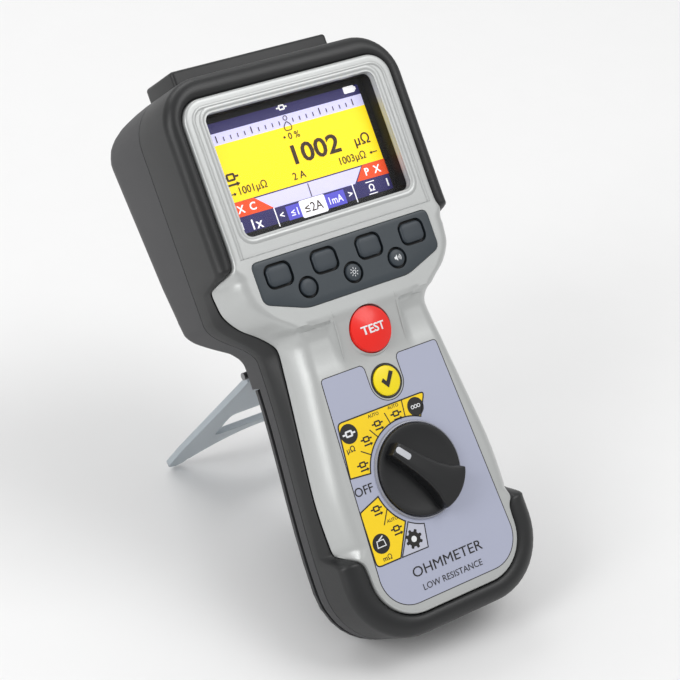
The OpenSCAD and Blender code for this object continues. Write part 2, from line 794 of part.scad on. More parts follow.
module stand() {
    color([0.8, 0.84, 0.86]) placed() difference() {
        union() {
            translate([0, pivot_rise, -pivot_depth]) rotate([180 + stand_open, 0, 0])
                translate([0, 0, -stand_t / 2]) linear_extrude(stand_t) stand_plan();
            stand_axis() cylinder(r = hub_r, h = stand_top_w, center = true);
        }
        stand_axis() cylinder(r = pin_r + pin_fit, h = far, center = true);
    }
}

front_shell();
bumper();
rear_shell();
case_seal();
case_screws();
display_window();
display_gasket();
display_module();
keypad_fascia();
keypad_mat();
range_label();
knob_collar();
main_board();
tact_switches();
rotary_switch();
buzzer();
measuring_board();
board_spacers();
heat_sink();
current_shunt();
fuse();
fuse_clips();
terminal_block();
socket_sleeves();
terminal_board();
battery_tray();
battery_cells();
battery_contacts();
battery_springs();
battery_cover();
cover_screws();
stand_pins();
stand();
knob();
knob_shaft();
knob_pointer();
test_button();
ok_button();
soft_key_1();
soft_key_2();
soft_key_3();
soft_key_4();
round_key_1();
round_key_2();
round_key_3();
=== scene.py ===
# %% [markdown]
# # A hand-held low-resistance ohmmeter
#
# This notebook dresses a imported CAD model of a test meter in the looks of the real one.
# The CAD model gives every size and every joint. Blender gives rounded edges, printed
# graphics, finishes and light. The frame is loaded first, so all pieces can be placed from it.

# %% Load the frame
import json
import math
import bpy
import bmesh
from mathutils import Matrix, Vector
from mathutils.geometry import tessellate_polygon


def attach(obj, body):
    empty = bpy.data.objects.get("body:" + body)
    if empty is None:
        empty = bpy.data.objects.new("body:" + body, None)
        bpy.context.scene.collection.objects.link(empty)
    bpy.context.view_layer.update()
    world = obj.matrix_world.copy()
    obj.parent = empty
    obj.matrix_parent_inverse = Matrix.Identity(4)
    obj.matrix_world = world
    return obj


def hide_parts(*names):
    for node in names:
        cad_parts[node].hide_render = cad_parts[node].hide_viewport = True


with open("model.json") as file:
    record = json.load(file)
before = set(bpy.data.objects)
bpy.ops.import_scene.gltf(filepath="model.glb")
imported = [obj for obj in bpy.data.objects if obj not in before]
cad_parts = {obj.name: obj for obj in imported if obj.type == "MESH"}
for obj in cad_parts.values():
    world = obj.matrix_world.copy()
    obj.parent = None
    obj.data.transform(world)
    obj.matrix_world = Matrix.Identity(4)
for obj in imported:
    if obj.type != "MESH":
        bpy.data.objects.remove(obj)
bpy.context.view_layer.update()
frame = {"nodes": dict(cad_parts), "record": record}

RECORD = frame["record"]

# %% [markdown]
# ## The meter's own axes
# The real meter leans back on its stand, so its face is tilted in the world. It is far easier
# to model it flat. We read the dial's axis and a socket's axis from the record, and build one
# matrix that takes millimetres on the flat face (u across, v up the face, w out of the face)
# to metres in the world. Every piece is modelled flat and then moved through this matrix.

# %% Body matrix
MM = 0.001
turn = next(j for j in RECORD["behaviour"]["joints"] if j["name"] == "knob_turn")
fold = next(j for j in RECORD["behaviour"]["joints"] if j["name"] == "stand_fold")
ACROSS = Vector((1, 0, 0))
OUT = Vector(turn["axis"]).normalized()
UP = OUT.cross(ACROSS).normalized()
KNOB_AXIS_HEIGHT = 5 * MM
ORIGIN = Vector(turn["pos_m"]) - KNOB_AXIS_HEIGHT * OUT
FLAT = Matrix.Translation(ORIGIN) @ Matrix((ACROSS, UP, OUT)).transposed().to_4x4() @ Matrix.Scale(MM, 4)
PIVOT = FLAT.inverted() @ Vector(fold["pos_m"])
print("face tilts back by", round(math.degrees(math.asin(UP.y)), 1), "degrees")
print("stand pivot", [round(c, 1) for c in PIVOT])

# %% [markdown]
# ## Helpers for outlines
# Moulded cases are drawn as outlines of arcs and smooth curves. These helpers make lists of
# points. Two outlines with the same number of points can be blended, which gives the wall
# between them, and an outline can be drawn in by a distance, which gives a rounded rim.

# %% Outlines
def arc(cx, cy, r, a0, a1, n):
    angles = [math.radians(a0 + (a1 - a0) * i / n) for i in range(n + 1)]
    return [(cx + r * math.cos(a), cy + r * math.sin(a)) for a in angles]


def mirrored(half):
    return half + [(-x, y) for x, y in reversed(half)]


def rounded_box(w, h, r, cx=0, cy=0, n=5):
    right, top = w / 2 - r, h / 2 - r
    corners = [(right, top), (-right, top), (-right, -top), (right, -top)]
    return [p for i, (x, y) in enumerate(corners) for p in arc(cx + x, cy + y, r, 90 * i, 90 * i + 90, n)]


def circle(r, cx=0, cy=0, n=48):
    return arc(cx, cy, r, 0, 360 - 360 / n, n - 1)


def rounded(points, r, n=4):
    """The polygon with each corner turned on an arc-like curve that starts r from the corner."""
    out = []
    for i, p in enumerate(points):
        p, a, b = Vector(p), Vector(points[i - 1]), Vector(points[(i + 1) % len(points)])
        k = min(r, (a - p).length / 2, (b - p).length / 2)
        start, end = p + (a - p).normalized() * k, p + (b - p).normalized() * k
        for j in range(n + 1):
            t = j / n
            out.append(tuple(start * (1 - t) ** 2 + p * 2 * t * (1 - t) + end * t * t))
    return out


def area(points):
    pairs = zip(points[-1:] + points[:-1], points)
    return sum(x0 * y1 - x1 * y0 for (x0, y0), (x1, y1) in pairs) / 2


def drawn_in(points, d):
    """The outline moved inwards by d, corner by corner."""
    side = 1 if area(points) > 0 else -1
    out = []
    for i, p in enumerate(points):
        a, b = Vector(points[i - 1]), Vector(points[(i + 1) % len(points)])
        one, two = (Vector(p) - a), (b - Vector(p))
        normals = [Vector((-e.y, e.x)).normalized() for e in (one, two) if e.length > 1e-6]
        n = sum(normals, Vector((0, 0)))
        if n.length < 1e-6:
            out.append(tuple(p))
            continue
        n = n.normalized()
        reach = d / max(0.5, n.dot(normals[0]))
        out.append((p[0] + side * n.x * reach, p[1] + side * n.y * reach))
    return out


def steps(low, high, step):
    n = round((high - low) / step)
    return [low + (high - low) * i / n for i in range(n)]


FOOT_V, TOP_V = -32, 145.5
SIDE = steps(FOOT_V, -27, 2.5) + steps(-27, -16, 0.8) + steps(-16, 54, 3.5) + steps(54, 86, 1.2)
SIDE += steps(86, 95, 0.75) + steps(95, TOP_V, 5) + [TOP_V]
ARC_N = 12


def smooth(x, low, high):
    t = min(1, max(0, (x - low) / (high - low)))
    return t * t * (3 - 2 * t)


def ease(x, low, high):
    return (1 - math.cos(math.pi * min(1, max(0, (x - low) / (high - low))))) / 2


def through(knots, v):
    """A smooth curve through the knots (v, width), flat where the knots turn back."""
    for k in range(len(knots) - 1):
        (v0, a), (v1, b) = knots[k], knots[k + 1]
        if v <= v1 or k == len(knots) - 2:
            before, after = knots[max(0, k - 1)], knots[min(len(knots) - 1, k + 2)]
            t, h = min(1, max(0, (v - v0) / (v1 - v0))), v1 - v0
            m0 = (b - before[1]) / (v1 - before[0]) if k else 0
            m1 = (after[1] - a) / (after[0] - v0) if k < len(knots) - 2 else 0
            return ((2 * t ** 3 - 3 * t * t + 1) * a + (t ** 3 - 2 * t * t + t) * h * m0
                    + (3 * t * t - 2 * t ** 3) * b + (t ** 3 - t * t) * h * m1)


def case_half(g):
    """Right half of the whole case's outline, drawn in by g, from the foot to the top."""
    side = [(43.5 - 5.5 * ease(v, FOOT_V, 57) + 14.5 * ease(v, 57, 77) - g, v) for v in SIDE]
    return arc(17.5, FOOT_V, 26 - g, -90, 0, ARC_N)[:-1] + side + arc(34.5, TOP_V, 18 - g, 0, 90, ARC_N)[1:]


# Half the silver's width at each bend of its side, from the foot up to the head
FACE_WIDTH = [(-32, 33.6), (-27, 33.8), (-24.5, 34.8), (-22, 37.2), (-19.5, 39.4), (-16, 40.1), (0, 40.0),
              (16, 38.3), (42, 35.1), (52, 34.0), (58, 33.5), (61, 34.4), (66, 39.4), (70.5, 45.4), (76.6, 50.0),
              (82, 51.2), (87, 51.3), (89.5, 49.2), (92, 46.7), (96, 45.9), (110, 45.9), (145.5, 46.0)]


def face_half(g):
    """Right half of the silver face's outline, drawn in by g. It has as many points as the case."""
    side = [(through(FACE_WIDTH, v) - g, v) for v in SIDE]
    return arc(15.6, FOOT_V, 18 - g, -90, 0, ARC_N)[:-1] + side + arc(37, 146.0, 9 - g, 0, 90, ARC_N)[1:]


def covered(v):
    """1 where the bumper comes over the front, at the head and at the foot, and 0 between."""
    return 1 - smooth(v, -24.0, -18.5) + smooth(v, 86.5, 92.0)


print("outline points:", len(case_half(0)), len(face_half(0)))

# %% [markdown]
# ## Helpers for meshes
# A solid can be made by lofting: rings of points are joined by strips of faces, and the first
# and last ring are capped. It is the same idea as a ship's hull on its ribs, and it gives full
# control of each edge's radius. All solids are closed and their normals point outwards.

# %% Meshes
def loft(rings, loop=False):
    bm = bmesh.new()
    rows = [[bm.verts.new(p) for p in ring] for ring in rings]
    pairs = list(zip(rows, rows[1:])) + ([(rows[-1], rows[0])] if loop else [])
    for a, b in pairs:
        for i in range(len(a)):
            bm.faces.new((a[i - 1], a[i], b[i], b[i - 1]))
    if not loop:
        for row in (rows[0], rows[-1]):
            flat = [v.co for v in row]
            for tri in tessellate_polygon([flat]):
                bm.faces.new([row[i] for i in tri])
    return bm


def slab(outline, low, high, top_r=0.0, low_r=0.0, n=4):
    """A plate with the outline between two heights, with rounded top and bottom edges."""
    levels = []
    for r, w, way in ((low_r, low, 1), (top_r, high, -1)):
        turns = [math.pi / 2 * i / n for i in range(n + 1 if r else 1)]
        levels += [(r * (1 - math.sin(a)), w + way * r * (1 - math.cos(a))) for a in turns[::way]]
    return loft([[(x, y, w) for x, y in drawn_in(outline, d)] for d, w in levels])


def turned(profile, cx=0, cy=0, n=64, loop=False):
    """A turned piece: the profile [radius, height] taken round an upright axis."""
    return loft([[(x, y, w) for x, y in circle(r, cx, cy, n)] for r, w in profile], loop)


def as_mesh(bm, name, place=FLAT):
    mesh = bpy.data.meshes.new(name)
    bm.to_mesh(mesh)
    bm.free()
    mesh.transform(place)
    return mesh


def in_scene(name, data):
    thing = bpy.data.objects.new(name, data)
    bpy.context.scene.collection.objects.link(thing)
    return thing


def joined(parts):
    whole = bmesh.new()
    for bm in parts:
        mesh = as_mesh(bm, "part", Matrix())
        whole.from_mesh(mesh)
        bpy.data.meshes.remove(mesh)
    return whole


def solid(name, bm, finish, body="case", instead_of=None, place=FLAT, crisp=35):
    """Turns a flat-frame mesh into a finished piece that rides on its body."""
    bmesh.ops.remove_doubles(bm, verts=bm.verts, dist=1e-4)
    bmesh.ops.recalc_face_normals(bm, faces=bm.faces)
    mesh = as_mesh(bm, name, place)
    mesh.shade_smooth()
    mesh.set_sharp_from_angle(angle=math.radians(crisp))
    mesh.materials.append(finish)
    piece = in_scene(name, mesh)
    dress(piece, body, instead_of)
    return piece


def dress(piece, body, instead_of):
    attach(piece, body)
    if instead_of:
        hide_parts(instead_of)


def carve(piece, cutters, turn=Matrix()):
    """Cuts holes with the exact boolean, then keeps the result as a plain mesh."""
    bm = joined(cutters)
    bmesh.ops.recalc_face_normals(bm, faces=bm.faces)
    tool_mesh = as_mesh(bm, "cutter", FLAT @ turn)
    tool = in_scene("cutter", tool_mesh)
    cut = piece.modifiers.new("cut", "BOOLEAN")
    cut.operation, cut.solver, cut.object = "DIFFERENCE", "EXACT", tool
    settle(piece)
    bpy.data.objects.remove(tool)
    bpy.data.meshes.remove(tool_mesh)
    piece.data.set_sharp_from_angle(angle=math.radians(35))


def settle(piece):
    """Replaces the object's mesh with its evaluated one and drops the modifiers."""
    bpy.context.view_layer.update()
    held = piece.evaluated_get(bpy.context.evaluated_depsgraph_get())
    old = piece.data
    piece.data = bpy.data.meshes.new_from_object(held)
    piece.modifiers.clear()
    if old.users == 0:
        bpy.data.meshes.remove(old)


# %% [markdown]
# ## Shader maths as plain expressions
# A material is a small program of nodes. Wiring each node by hand is hard to read, so a class
# wraps a socket: `noise * 0.2 + 0.5` adds the two Math nodes by itself. One more method adds
# any other node from its type, its settings and its inputs.

# %% Shader expressions
class Flow:
    """An output socket in a material's tree."""
    def __init__(self, tree, socket):
        self.tree, self.socket = tree, socket

    def maths(self, operation, a, b):
        return add_node(self.tree, "ShaderNodeMath", {"operation": operation}, {0: a, 1: b})

    def __add__(self, other):
        return self.maths("ADD", self, other)

    def __mul__(self, other):
        return self.maths("MULTIPLY", self, other)


def add_node(tree, kind, settings=None, values=None, out=0):
    node = tree.nodes.new(kind)
    for key, value in (settings or {}).items():
        setattr(node, key, value)
    for key, value in (values or {}).items():
        if isinstance(value, Flow):
            tree.links.new(value.socket, node.inputs[key])
        else:
            node.inputs[key].default_value = value
    return Flow(tree, node.outputs[out])


def colour(rgb):
    """A screen colour from 0 to 255 as the linear colour that shaders use."""
    line = [c / 255 for c in rgb]
    return tuple(c / 12.92 if c < 0.04045 else ((c + 0.055) / 1.055) ** 2.4 for c in line) + (1.0,)


def new_material(name):
    material = bpy.data.materials.new(name)
    material.use_nodes = True
    tree = material.node_tree
    shader = tree.nodes["Principled BSDF"]
    place = add_node(tree, "ShaderNodeTexCoord", out=3)
    return material, tree, shader, place


def grain(tree, place, scale, detail=3.0):
    values = {"Vector": place, "Scale": scale, "Detail": detail, "Roughness": 0.6}
    return add_node(tree, "ShaderNodeTexNoise", {}, values)


def mixed(tree, a, b, factor):
    return add_node(tree, "ShaderNodeMix", {"data_type": "RGBA"}, {0: factor, 6: a, 7: b}, out=2)


def moulded(name, rgb, rough, texture=0.02, spread=0.12, metal=0.0, bump_scale=2600.0, coat=0.0):
    """Moulded or painted plastic: a fine spark-eroded grain, slow colour drift and uneven gloss."""
    material, tree, shader, place = new_material(name)
    base, drift = colour(rgb), grain(tree, place, 38.0)
    fine = grain(tree, place, bump_scale, 2.0)
    dark = tuple(c * (1 - spread) for c in base[:3]) + (1.0,)
    light = tuple(min(1.0, c * (1 + spread)) for c in base[:3]) + (1.0,)
    tree.links.new(mixed(tree, dark, light, drift).socket, shader.inputs["Base Color"])
    tree.links.new((drift * 0.10 + fine * 0.06 + (rough - 0.08)).socket, shader.inputs["Roughness"])
    bump = add_node(tree, "ShaderNodeBump", {}, {"Strength": texture * 8, "Distance": 0.00012, "Height": fine})
    tree.links.new(bump.socket, shader.inputs["Normal"])
    shader.inputs["Metallic"].default_value = metal
    shader.inputs["Coat Weight"].default_value = coat
    shader.inputs["Coat Roughness"].default_value = 0.12
    return material


def lit(name, rgb, glow):
    """A patch of the lit screen: it gives off its own colour through a faint grid of cells."""
    material, tree, shader, place = new_material(name)
    base, cells = colour(rgb), grain(tree, place, 900.0, 1.0)
    shade = mixed(tree, tuple(c * 0.94 for c in base[:3]) + (1.0,), base, cells)
    tree.links.new(shade.socket, shader.inputs["Base Color"])
    tree.links.new(shade.socket, shader.inputs["Emission Color"])
    shader.inputs["Emission Strength"].default_value = glow
    shader.inputs["Roughness"].default_value = 0.5
    return material


print("shader helpers ready")

# %% [markdown]
# ## Finishes
# The case is silver-painted plastic, its bumper is soft black overmoulding and the rear shell
# is dark grey ABS with a matt spark-eroded skin. The label and the keypad are printed film.
# Each finish gets a grain at its true size, because a flat colour looks like a drawing.

# %% Materials
SILVER = moulded("silver_paint", (186, 188, 187), 0.36, 0.02, 0.03, metal=0.35, bump_scale=3500.0)
SOFT_BLACK = moulded("soft_black_overmould", (26, 27, 28), 0.42, 0.05, 0.10)
REAR_GREY = moulded("rear_grey_abs", (52, 52, 54), 0.50, 0.06, 0.08)
# Near-black for the gaps, seams, key moats and display well: painted shade in the gaps, and in the well the gasket's
# own black darkened by painted shade.
GAP_SHADE_AND_GASKET_BLACK = moulded("painted_gap_shade_and_gasket_black", (12, 12, 13), 0.6, 0.02, 0.1)
BLOCK_BLACK = moulded("terminal_block_black", (22, 23, 24), 0.45, 0.04, 0.1)
SLATE = moulded("keypad_slate", (52, 60, 66), 0.38, 0.02, 0.04)
KEY_SLATE = moulded("key_rubber_slate", (50, 58, 65), 0.45, 0.03, 0.05)
KNOB_BLACK = moulded("knob_black", (17, 18, 20), 0.40, 0.04, 0.08)
POINTER_GREY = moulded("pointer_grey", (196, 198, 204), 0.35, 0.02, 0.05)
TEST_RED = moulded("test_red", (238, 26, 8), 0.36, 0.01, 0.04, coat=0.15)
OK_YELLOW = moulded("ok_yellow", (246, 222, 8), 0.34, 0.01, 0.03)
LABEL_FILM = moulded("label_film", (172, 176, 196), 0.42, 0.01, 0.02)
LABEL_YELLOW = moulded("label_yellow_ink", (250, 212, 0), 0.42, 0.01, 0.02)
LABEL_GREY = moulded("label_grey_ink", (190, 192, 206), 0.42, 0.01, 0.02)
INK_BLACK = moulded("ink_black", (24, 22, 20), 0.42, 0.01, 0.05)
INK_WHITE = moulded("ink_white", (232, 234, 236), 0.42, 0.01, 0.02)
COLLAR_GREY = moulded("collar_grey", (150, 152, 162), 0.36, 0.02, 0.04, metal=0.2)
SCREW_STEEL = moulded("screw_steel", (150, 150, 152), 0.32, 0.02, 0.08, metal=1.0)
BRASS = moulded("socket_brass", (206, 170, 96), 0.3, 0.02, 0.08, metal=1.0)
BOARD_GREEN = moulded("board_green", (20, 82, 50), 0.4, 0.02, 0.1)
PART_BLACK = moulded("component_black", (28, 28, 30), 0.5, 0.03, 0.1)
SWITCH_GREEN = moulded("switch_green", (30, 110, 70), 0.45, 0.02, 0.08)
ALLOY = moulded("copper_alloy", (196, 132, 88), 0.3, 0.02, 0.1, metal=1.0)
ALUMINIUM = moulded("heat_sink_aluminium", (168, 170, 174), 0.4, 0.03, 0.06, metal=1.0)
CERAMIC = moulded("fuse_ceramic", (226, 222, 212), 0.35, 0.02, 0.04)
CELL_WRAP = moulded("cell_wrap", (36, 60, 96), 0.3, 0.01, 0.08, coat=0.3)
SPRING_STEEL = moulded("contact_steel", (170, 170, 172), 0.3, 0.02, 0.08, metal=1.0)
SEAL_BLACK = moulded("seal_rubber", (20, 20, 20), 0.7, 0.05, 0.1)
STAND_CLEAR = moulded("stand_clear", (196, 204, 210), 0.32, 0.02, 0.03)
stand_shader = STAND_CLEAR.node_tree.nodes["Principled BSDF"]
stand_shader.inputs["Transmission Weight"].default_value = 0.35
stand_shader.inputs["IOR"].default_value = 1.2
NAVY = lit("screen_navy", (44, 38, 104), 0.32)
LILAC = lit("screen_lilac", (212, 210, 250), 0.5)
YELLOW = lit("screen_yellow", (255, 226, 0), 0.55)
ORANGE = lit("screen_orange", (235, 76, 22), 0.5)
VIOLET = lit("screen_violet", (88, 84, 206), 0.5)
SCREEN_WHITE = lit("screen_white", (250, 250, 255), 0.6)
SCREEN_DARK = lit("screen_dark_ink", (58, 34, 8), 0.05)
print("materials:", len(bpy.data.materials))

# %% [markdown]
# ## The silver face
# On the real meter the front is one silver moulding: a raised head round the display, a ledge at
# the shoulder with a ramp through its middle, and a low handle face. A grid of rows follows a
# height rule. Rings round it make the rim, which slopes broadly down the handle's sides and is
# tight where the bumper comes over the front.

# %% Face height and shell
HEAD_W, HANDLE_W = 3.4, 0.3
SCREEN_MIDDLE = 124.8
RAMP_U = 14.2


def face_height(u, v):
    """Height of the silver: a ledge each side of the TEST button, and a ramp to the keys between."""
    ledge = 61.6 + 1.2 * smooth(abs(u), 18, 34)
    hollow = 0.6 * smooth(abs(u), RAMP_U, 18) * smooth(v, 44, 50) * (1 - smooth(v, 58, 61))
    side = smooth(v, ledge, ledge + 2.2)
    ramp = min(1, max(0, (v - 46.5) / 20.5))
    wall = 0.5 + 2.2 * smooth(v, 47, 60)
    share = side + max(0, ramp - side) * (1 - min(1, max(0, (abs(u) - RAMP_U) / wall)))
    return HANDLE_W - hollow + (HEAD_W - HANDLE_W) * share


EDGE_W = -9.8
# The rim's points: (distance in, share of the rise) where bare, (distance in, drop) under the bumper
OPEN_RIM = [(0.0, 0.0), (1.2, 0.26), (2.6, 0.53), (4.0, 0.74), (5.4, 0.89), (6.8, 0.975), (8.4, 1.0)]
SNUG_RIM = [(0.0, 1.9), (0.1, 1.0), (0.3, 0.5), (0.6, 0.22), (0.95, 0.08), (1.35, 0.02), (1.8, 0.0)]


def rim_point(i, k):
    """Point k of the rim at the outline's point i: broad and sloping where the silver is bare."""
    over = covered(face_half(0)[i][1])
    (wide, rise), (snug, drop) = OPEN_RIM[k], SNUG_RIM[k]
    x, y = face_half(wide + (snug - wide) * over)[i]
    top = face_height(x, y)
    return x, y, top - (1 - over) * (top - EDGE_W) * (1 - rise) - over * drop


def surface(low, columns=88):
    """A closed slab: rings round the rim, then rows across the middle that follow face_height."""
    bm = bmesh.new()
    n = len(face_half(0))
    rims = [[rim_point(i, k) for i in range(n)] for k in range(len(OPEN_RIM))]
    rims.insert(0, [(x, y, low) for x, y, _ in rims[0]])
    rings = [[bm.verts.new(p) for p in rim + [(-x, y, w) for x, y, w in reversed(rim)]] for rim in rims]
    rows = []
    for i, (x, y, _) in enumerate(rims[-1]):
        across = [x - 2 * x * j / columns for j in range(1, columns)]
        middle = [bm.verts.new((u, y, face_height(u, y))) for u in across]
        rows.append([rings[-1][i]] + middle + [rings[-1][2 * n - 1 - i]])
    bm.faces.new(rings[0])
    for a, b in zip(rings, rings[1:]):
        for i in range(2 * n):
            inner = (b[i], b[i - 1])
            if b is rings[-1] and i == 0:
                inner = rows[0]
            if b is rings[-1] and i == n:
                inner = rows[-1][::-1]
            bm.faces.new((a[i - 1], a[i], *inner))
    for a, b in zip(rows, rows[1:]):
        for i in range(1, len(a)):
            bm.faces.new((a[i - 1], a[i], b[i], b[i - 1]))
    return bm


KEYPAD = rounded(mirrored([(22.85, 70.2), (39.85, 76.2), (39.85, 91.8)]), 2.6)
SOFT_KEYS = [(-30.3, 85.0), (-10.1, 85.0), (10.1, 85.0), (30.3, 85.0)]
ROUND_KEYS = [(-20.2, 77.4), (0.0, 77.4), (20.2, 77.4)]
OPEN_W, OPEN_H = 75.2, 47.6
TEST_V, OK_V = 55.5, 35.2

face = solid("front_face", surface(-10.4), SILVER, instead_of="front_shell")
carve(face, [slab(rounded_box(OPEN_W, OPEN_H, 3.2, 0, SCREEN_MIDDLE), -20, 20),
             slab(drawn_in(KEYPAD, -0.15), -1.6, 20),
             slab(circle(9.3, 0, TEST_V), -20, 20), slab(circle(6.05, 0, OK_V), -20, 20),
             slab(circle(4.2), -20, 20)])
print("face faces:", len(face.data.polygons))

# %% [markdown]
# ## Raised rims on the face
# Round the display the silver rises to a soft frame with a fine bead outside it, and a pair
# of thin ridges runs from the ledge down beside the TEST button. A ridge is a small section
# swept along an outline, so lofting the section's rings as a closed loop is the quickest way.

# %% Display frame, bead and ridges
def swept(outline_at, section):
    """A closed ring: outline_at(d) gives the outline drawn in by d, section lists (d, height)."""
    return loft([[(x, y, w) for x, y in outline_at(d)] for d, w in section], loop=True)


def display_outline(d):
    return rounded_box(OPEN_W - 2 * d, OPEN_H - 2 * d, max(0.6, 3.2 - d), 0, SCREEN_MIDDLE)


frame_section = [(0.2, 0.6), (0.15, 1.6), (-0.1, 2.6), (-0.5, 3.3), (-1.1, 3.62), (-1.8, 3.68), (-2.5, 3.55),
                 (-3.0, 3.3), (-3.0, 0.6)]
solid("display_frame", swept(display_outline, frame_section), SILVER)


def bezel_line(d):
    return mirrored([p for p in face_half(2.9 + d) if p[1] > 93.8])


bead = [(0.0, 2.8), (0.0, 3.5), (0.25, 3.72), (0.7, 3.78), (1.15, 3.72), (1.4, 3.5), (1.4, 2.8)]
solid("bezel_ridge", swept(bezel_line, bead), SILVER)

ridges = []
for side in (-1, 1):
    rings = []
    for i in range(21):
        v = 46.8 + 19.2 * i / 20
        swell = math.sin(math.pi * i / 20)
        half, top = 0.12 + 0.2 * swell, face_height(RAMP_U, v) + 0.05 + 0.35 * swell
        right = [(half / 2, top), (half, top - 0.05), (half, top - 1.2)]
        left = [(-x, w) for x, w in reversed(right)]
        rings.append([(side * RAMP_U + x, v, w) for x, w in left + right])
    ridges.append(loft(rings))
solid("test_ridges", joined(ridges), SILVER)

boss = [(9.2, -1), (9.2, 1.15), (9.3, 1.3), (9.55, 1.3), (9.9, 0.9), (10.3, 0.3), (10.3, -1)]
solid("test_boss", turned(boss, 0, TEST_V, loop=True), SILVER)

# %% [markdown]
# ## The bumper
# The black band is a soft plastic moulded over the case. Over the head and the foot it is a fat
# rounded roll that comes onto the front, and along the handle it stays on the side, below a gap
# filled by a near-black ring that paints the gap's shade. The section runs from the case's outline
# to the face's outline, and both have the same number of points, so the wall is a blend of the two.

# %% Bumper
def seam_height(v):
    return -20.0 - 3.5 * smooth(v, 58, 72)


def band_top(v):
    return -0.4 + 2.9 * smooth(v, 60, 70)


ROLL = 4.6
# The band's rings: (share of the way in, what the height is measured from, height above that),
# where it covers the front and where it is a side band
COVERING = [(0.0, "seam", 0.0), (0.0, "seam", 3.0)]
SIDE_BAND = [(0.0, "seam", 0.0), (0.0, "seam", 1.2)]
for i in range(9):
    a = math.radians(90 * i / 8)
    COVERING.append((0.66 * (1 - math.cos(a)), "top", -ROLL * (1 - math.sin(a))))
    SIDE_BAND.append((0.04 + 0.9 * (i / 8) ** 1.3, "edge", -6.6 + 5.4 * i / 8))
COVERING += [(0.84, "top", -0.15), (0.95, "top", -0.6), (1.0, "top", -1.4), (1.0, "top", -5.0),
             (0.6, "top", -8.0), (0.35, "seam", 0.0)]
SIDE_BAND += [(1.02, "edge", -1.15), (1.1, "edge", -1.2), (1.15, "edge", -1.6), (1.15, "edge", -3.4),
              (0.8, "edge", -5.0), (0.5, "seam", 0.0)]


def level(kind, rise, v):
    return rise + {"seam": seam_height, "top": band_top, "edge": lambda _: EDGE_W}[kind](v)


def bumper_ring(k):
    ring = []
    for (x0, y0), (x1, y1) in zip(mirrored(case_half(0)), mirrored(face_half(-0.3))):
        over = covered(y1)
        share = SIDE_BAND[k][0] + (COVERING[k][0] - SIDE_BAND[k][0]) * over
        low, high = level(*SIDE_BAND[k][1:], y0), level(*COVERING[k][1:], y0)
        ring.append((x0 + (x1 - x0) * share, y0 + (y1 - y0) * share, low + (high - low) * over))
    return ring


bumper_rings = [bumper_ring(k) for k in range(len(COVERING))]
# A near-black ring sunk in the gap between the silver and the bumper: painted shade in the gap.
gap = swept(lambda d: mirrored(face_half(d)), [(1.0, -8.4), (1.0, -13), (2.6, -13), (2.6, -8.4)])
solid("silver_gap", gap, GAP_SHADE_AND_GASKET_BLACK)
solid("bumper_band", loft(bumper_rings, loop=True), SOFT_BLACK, instead_of="bumper",
      crisp=50)

# %% [markdown]
# ## The rear shell and the battery cover
# Behind the seam the real case is a deep dark grey shell: deep behind the display, shallow at
# the handle so a hand goes round it. Each row of the outline gives one cross-section, a U with
# rounded corners whose depth comes from the case's side view, and the sections are lofted.

# %% Rear shell
# The case's depth behind the face at each bend of its back, from the foot up
SIDE_VIEW = [(-58, 27.7), (48, 27.7), (48.4, 33.5), (61, 33.5), (64, 34.4), (67, 38.5), (72, 44.7), (76, 48.2),
             (81, 50.7), (96, 54), (148, 61), (153, 60.2), (156, 58), (159, 53.5), (161, 46), (164.5, 28)]


def depth_at(v):
    for (v0, d0), (v1, d1) in zip(SIDE_VIEW, SIDE_VIEW[1:]):
        if v <= v1:
            return d0 + (d1 - d0) * (v - v0) / (v1 - v0)
    return SIDE_VIEW[-1][1]


def half_width(v, g=0.0):
    """How far the case's outline is from its middle line at the height v."""
    half = case_half(g)
    if v <= half[0][1]:
        return half[0][0]
    for (x0, y0), (x1, y1) in zip(half, half[1:]):
        if y0 <= v <= y1 and y1 > y0:
            return x0 + (x1 - x0) * (v - y0) / (y1 - y0)
    return half[-1][0]


def section(half, top, depth, corner, n=6):
    """A closed cross-section between the heights top and -depth, its lower corners rounded."""
    corner = min(corner, depth + top - 0.6, half - 1)
    right = [(half, top)] + [(half - corner + corner * math.cos(a), -depth + corner - corner * math.sin(a))
                             for a in [math.pi / 2 * i / n for i in range(n + 1)]]
    return right + [(-x, y) for x, y in reversed(right)]


def shell(rows):
    """rows lists (v, half width, top, depth, corner)."""
    return loft([[(x, v, w) for x, w in section(*sizes)] for v, *sizes in rows])


rear_rows = []
stops = {v for v, _ in SIDE_VIEW[2:-1]} | {47.9, 108, 120, 134, 150.5, 157.5, 160, 162, 163}
stops = sorted(stops | {round(y, 3) for _, y in case_half(0)})
for v in stops:
    corner = 3.0 + 7.0 * smooth(v, 60, 84)
    rear_rows.append((v, max(half_width(v), 0.5), seam_height(v) - 0.35, depth_at(v), corner))
rear = solid("rear_case", shell(rear_rows), REAR_GREY, instead_of="rear_shell", crisp=40)

SEAM_GAP = 0.9
# A near-black ring set in the seam between the front and rear shells: painted shade in the seam gap.
gap_rings = [[(x, y, seam_height(y) + w) for x, y in mirrored(case_half(d))]
             for d, w in ((SEAM_GAP, 0.3), (SEAM_GAP, -0.7), (2.4, -0.7), (2.4, 0.3))]
solid("seam_gap", loft(gap_rings, loop=True), GAP_SHADE_AND_GASKET_BLACK)

# %% Battery cover
cover_rows = []
for v in [-57.7, -57.2, -56.0, -54.0, -51.5, -48, -44, -38, -32, -20, -8, 4, 16, 28, 38, 44, 46.5, 47.7]:
    edge = smooth(v, -57.9, -52.0)
    depth = 29.2 + 4.3 * math.sqrt(max(0.0, 1 - (1 - edge) ** 2))
    cover_rows.append((v, half_width(v) - 0.35, -28.15, depth, 4.6))
solid("battery_door", shell(cover_rows), REAR_GREY, instead_of="battery_cover", crisp=40)
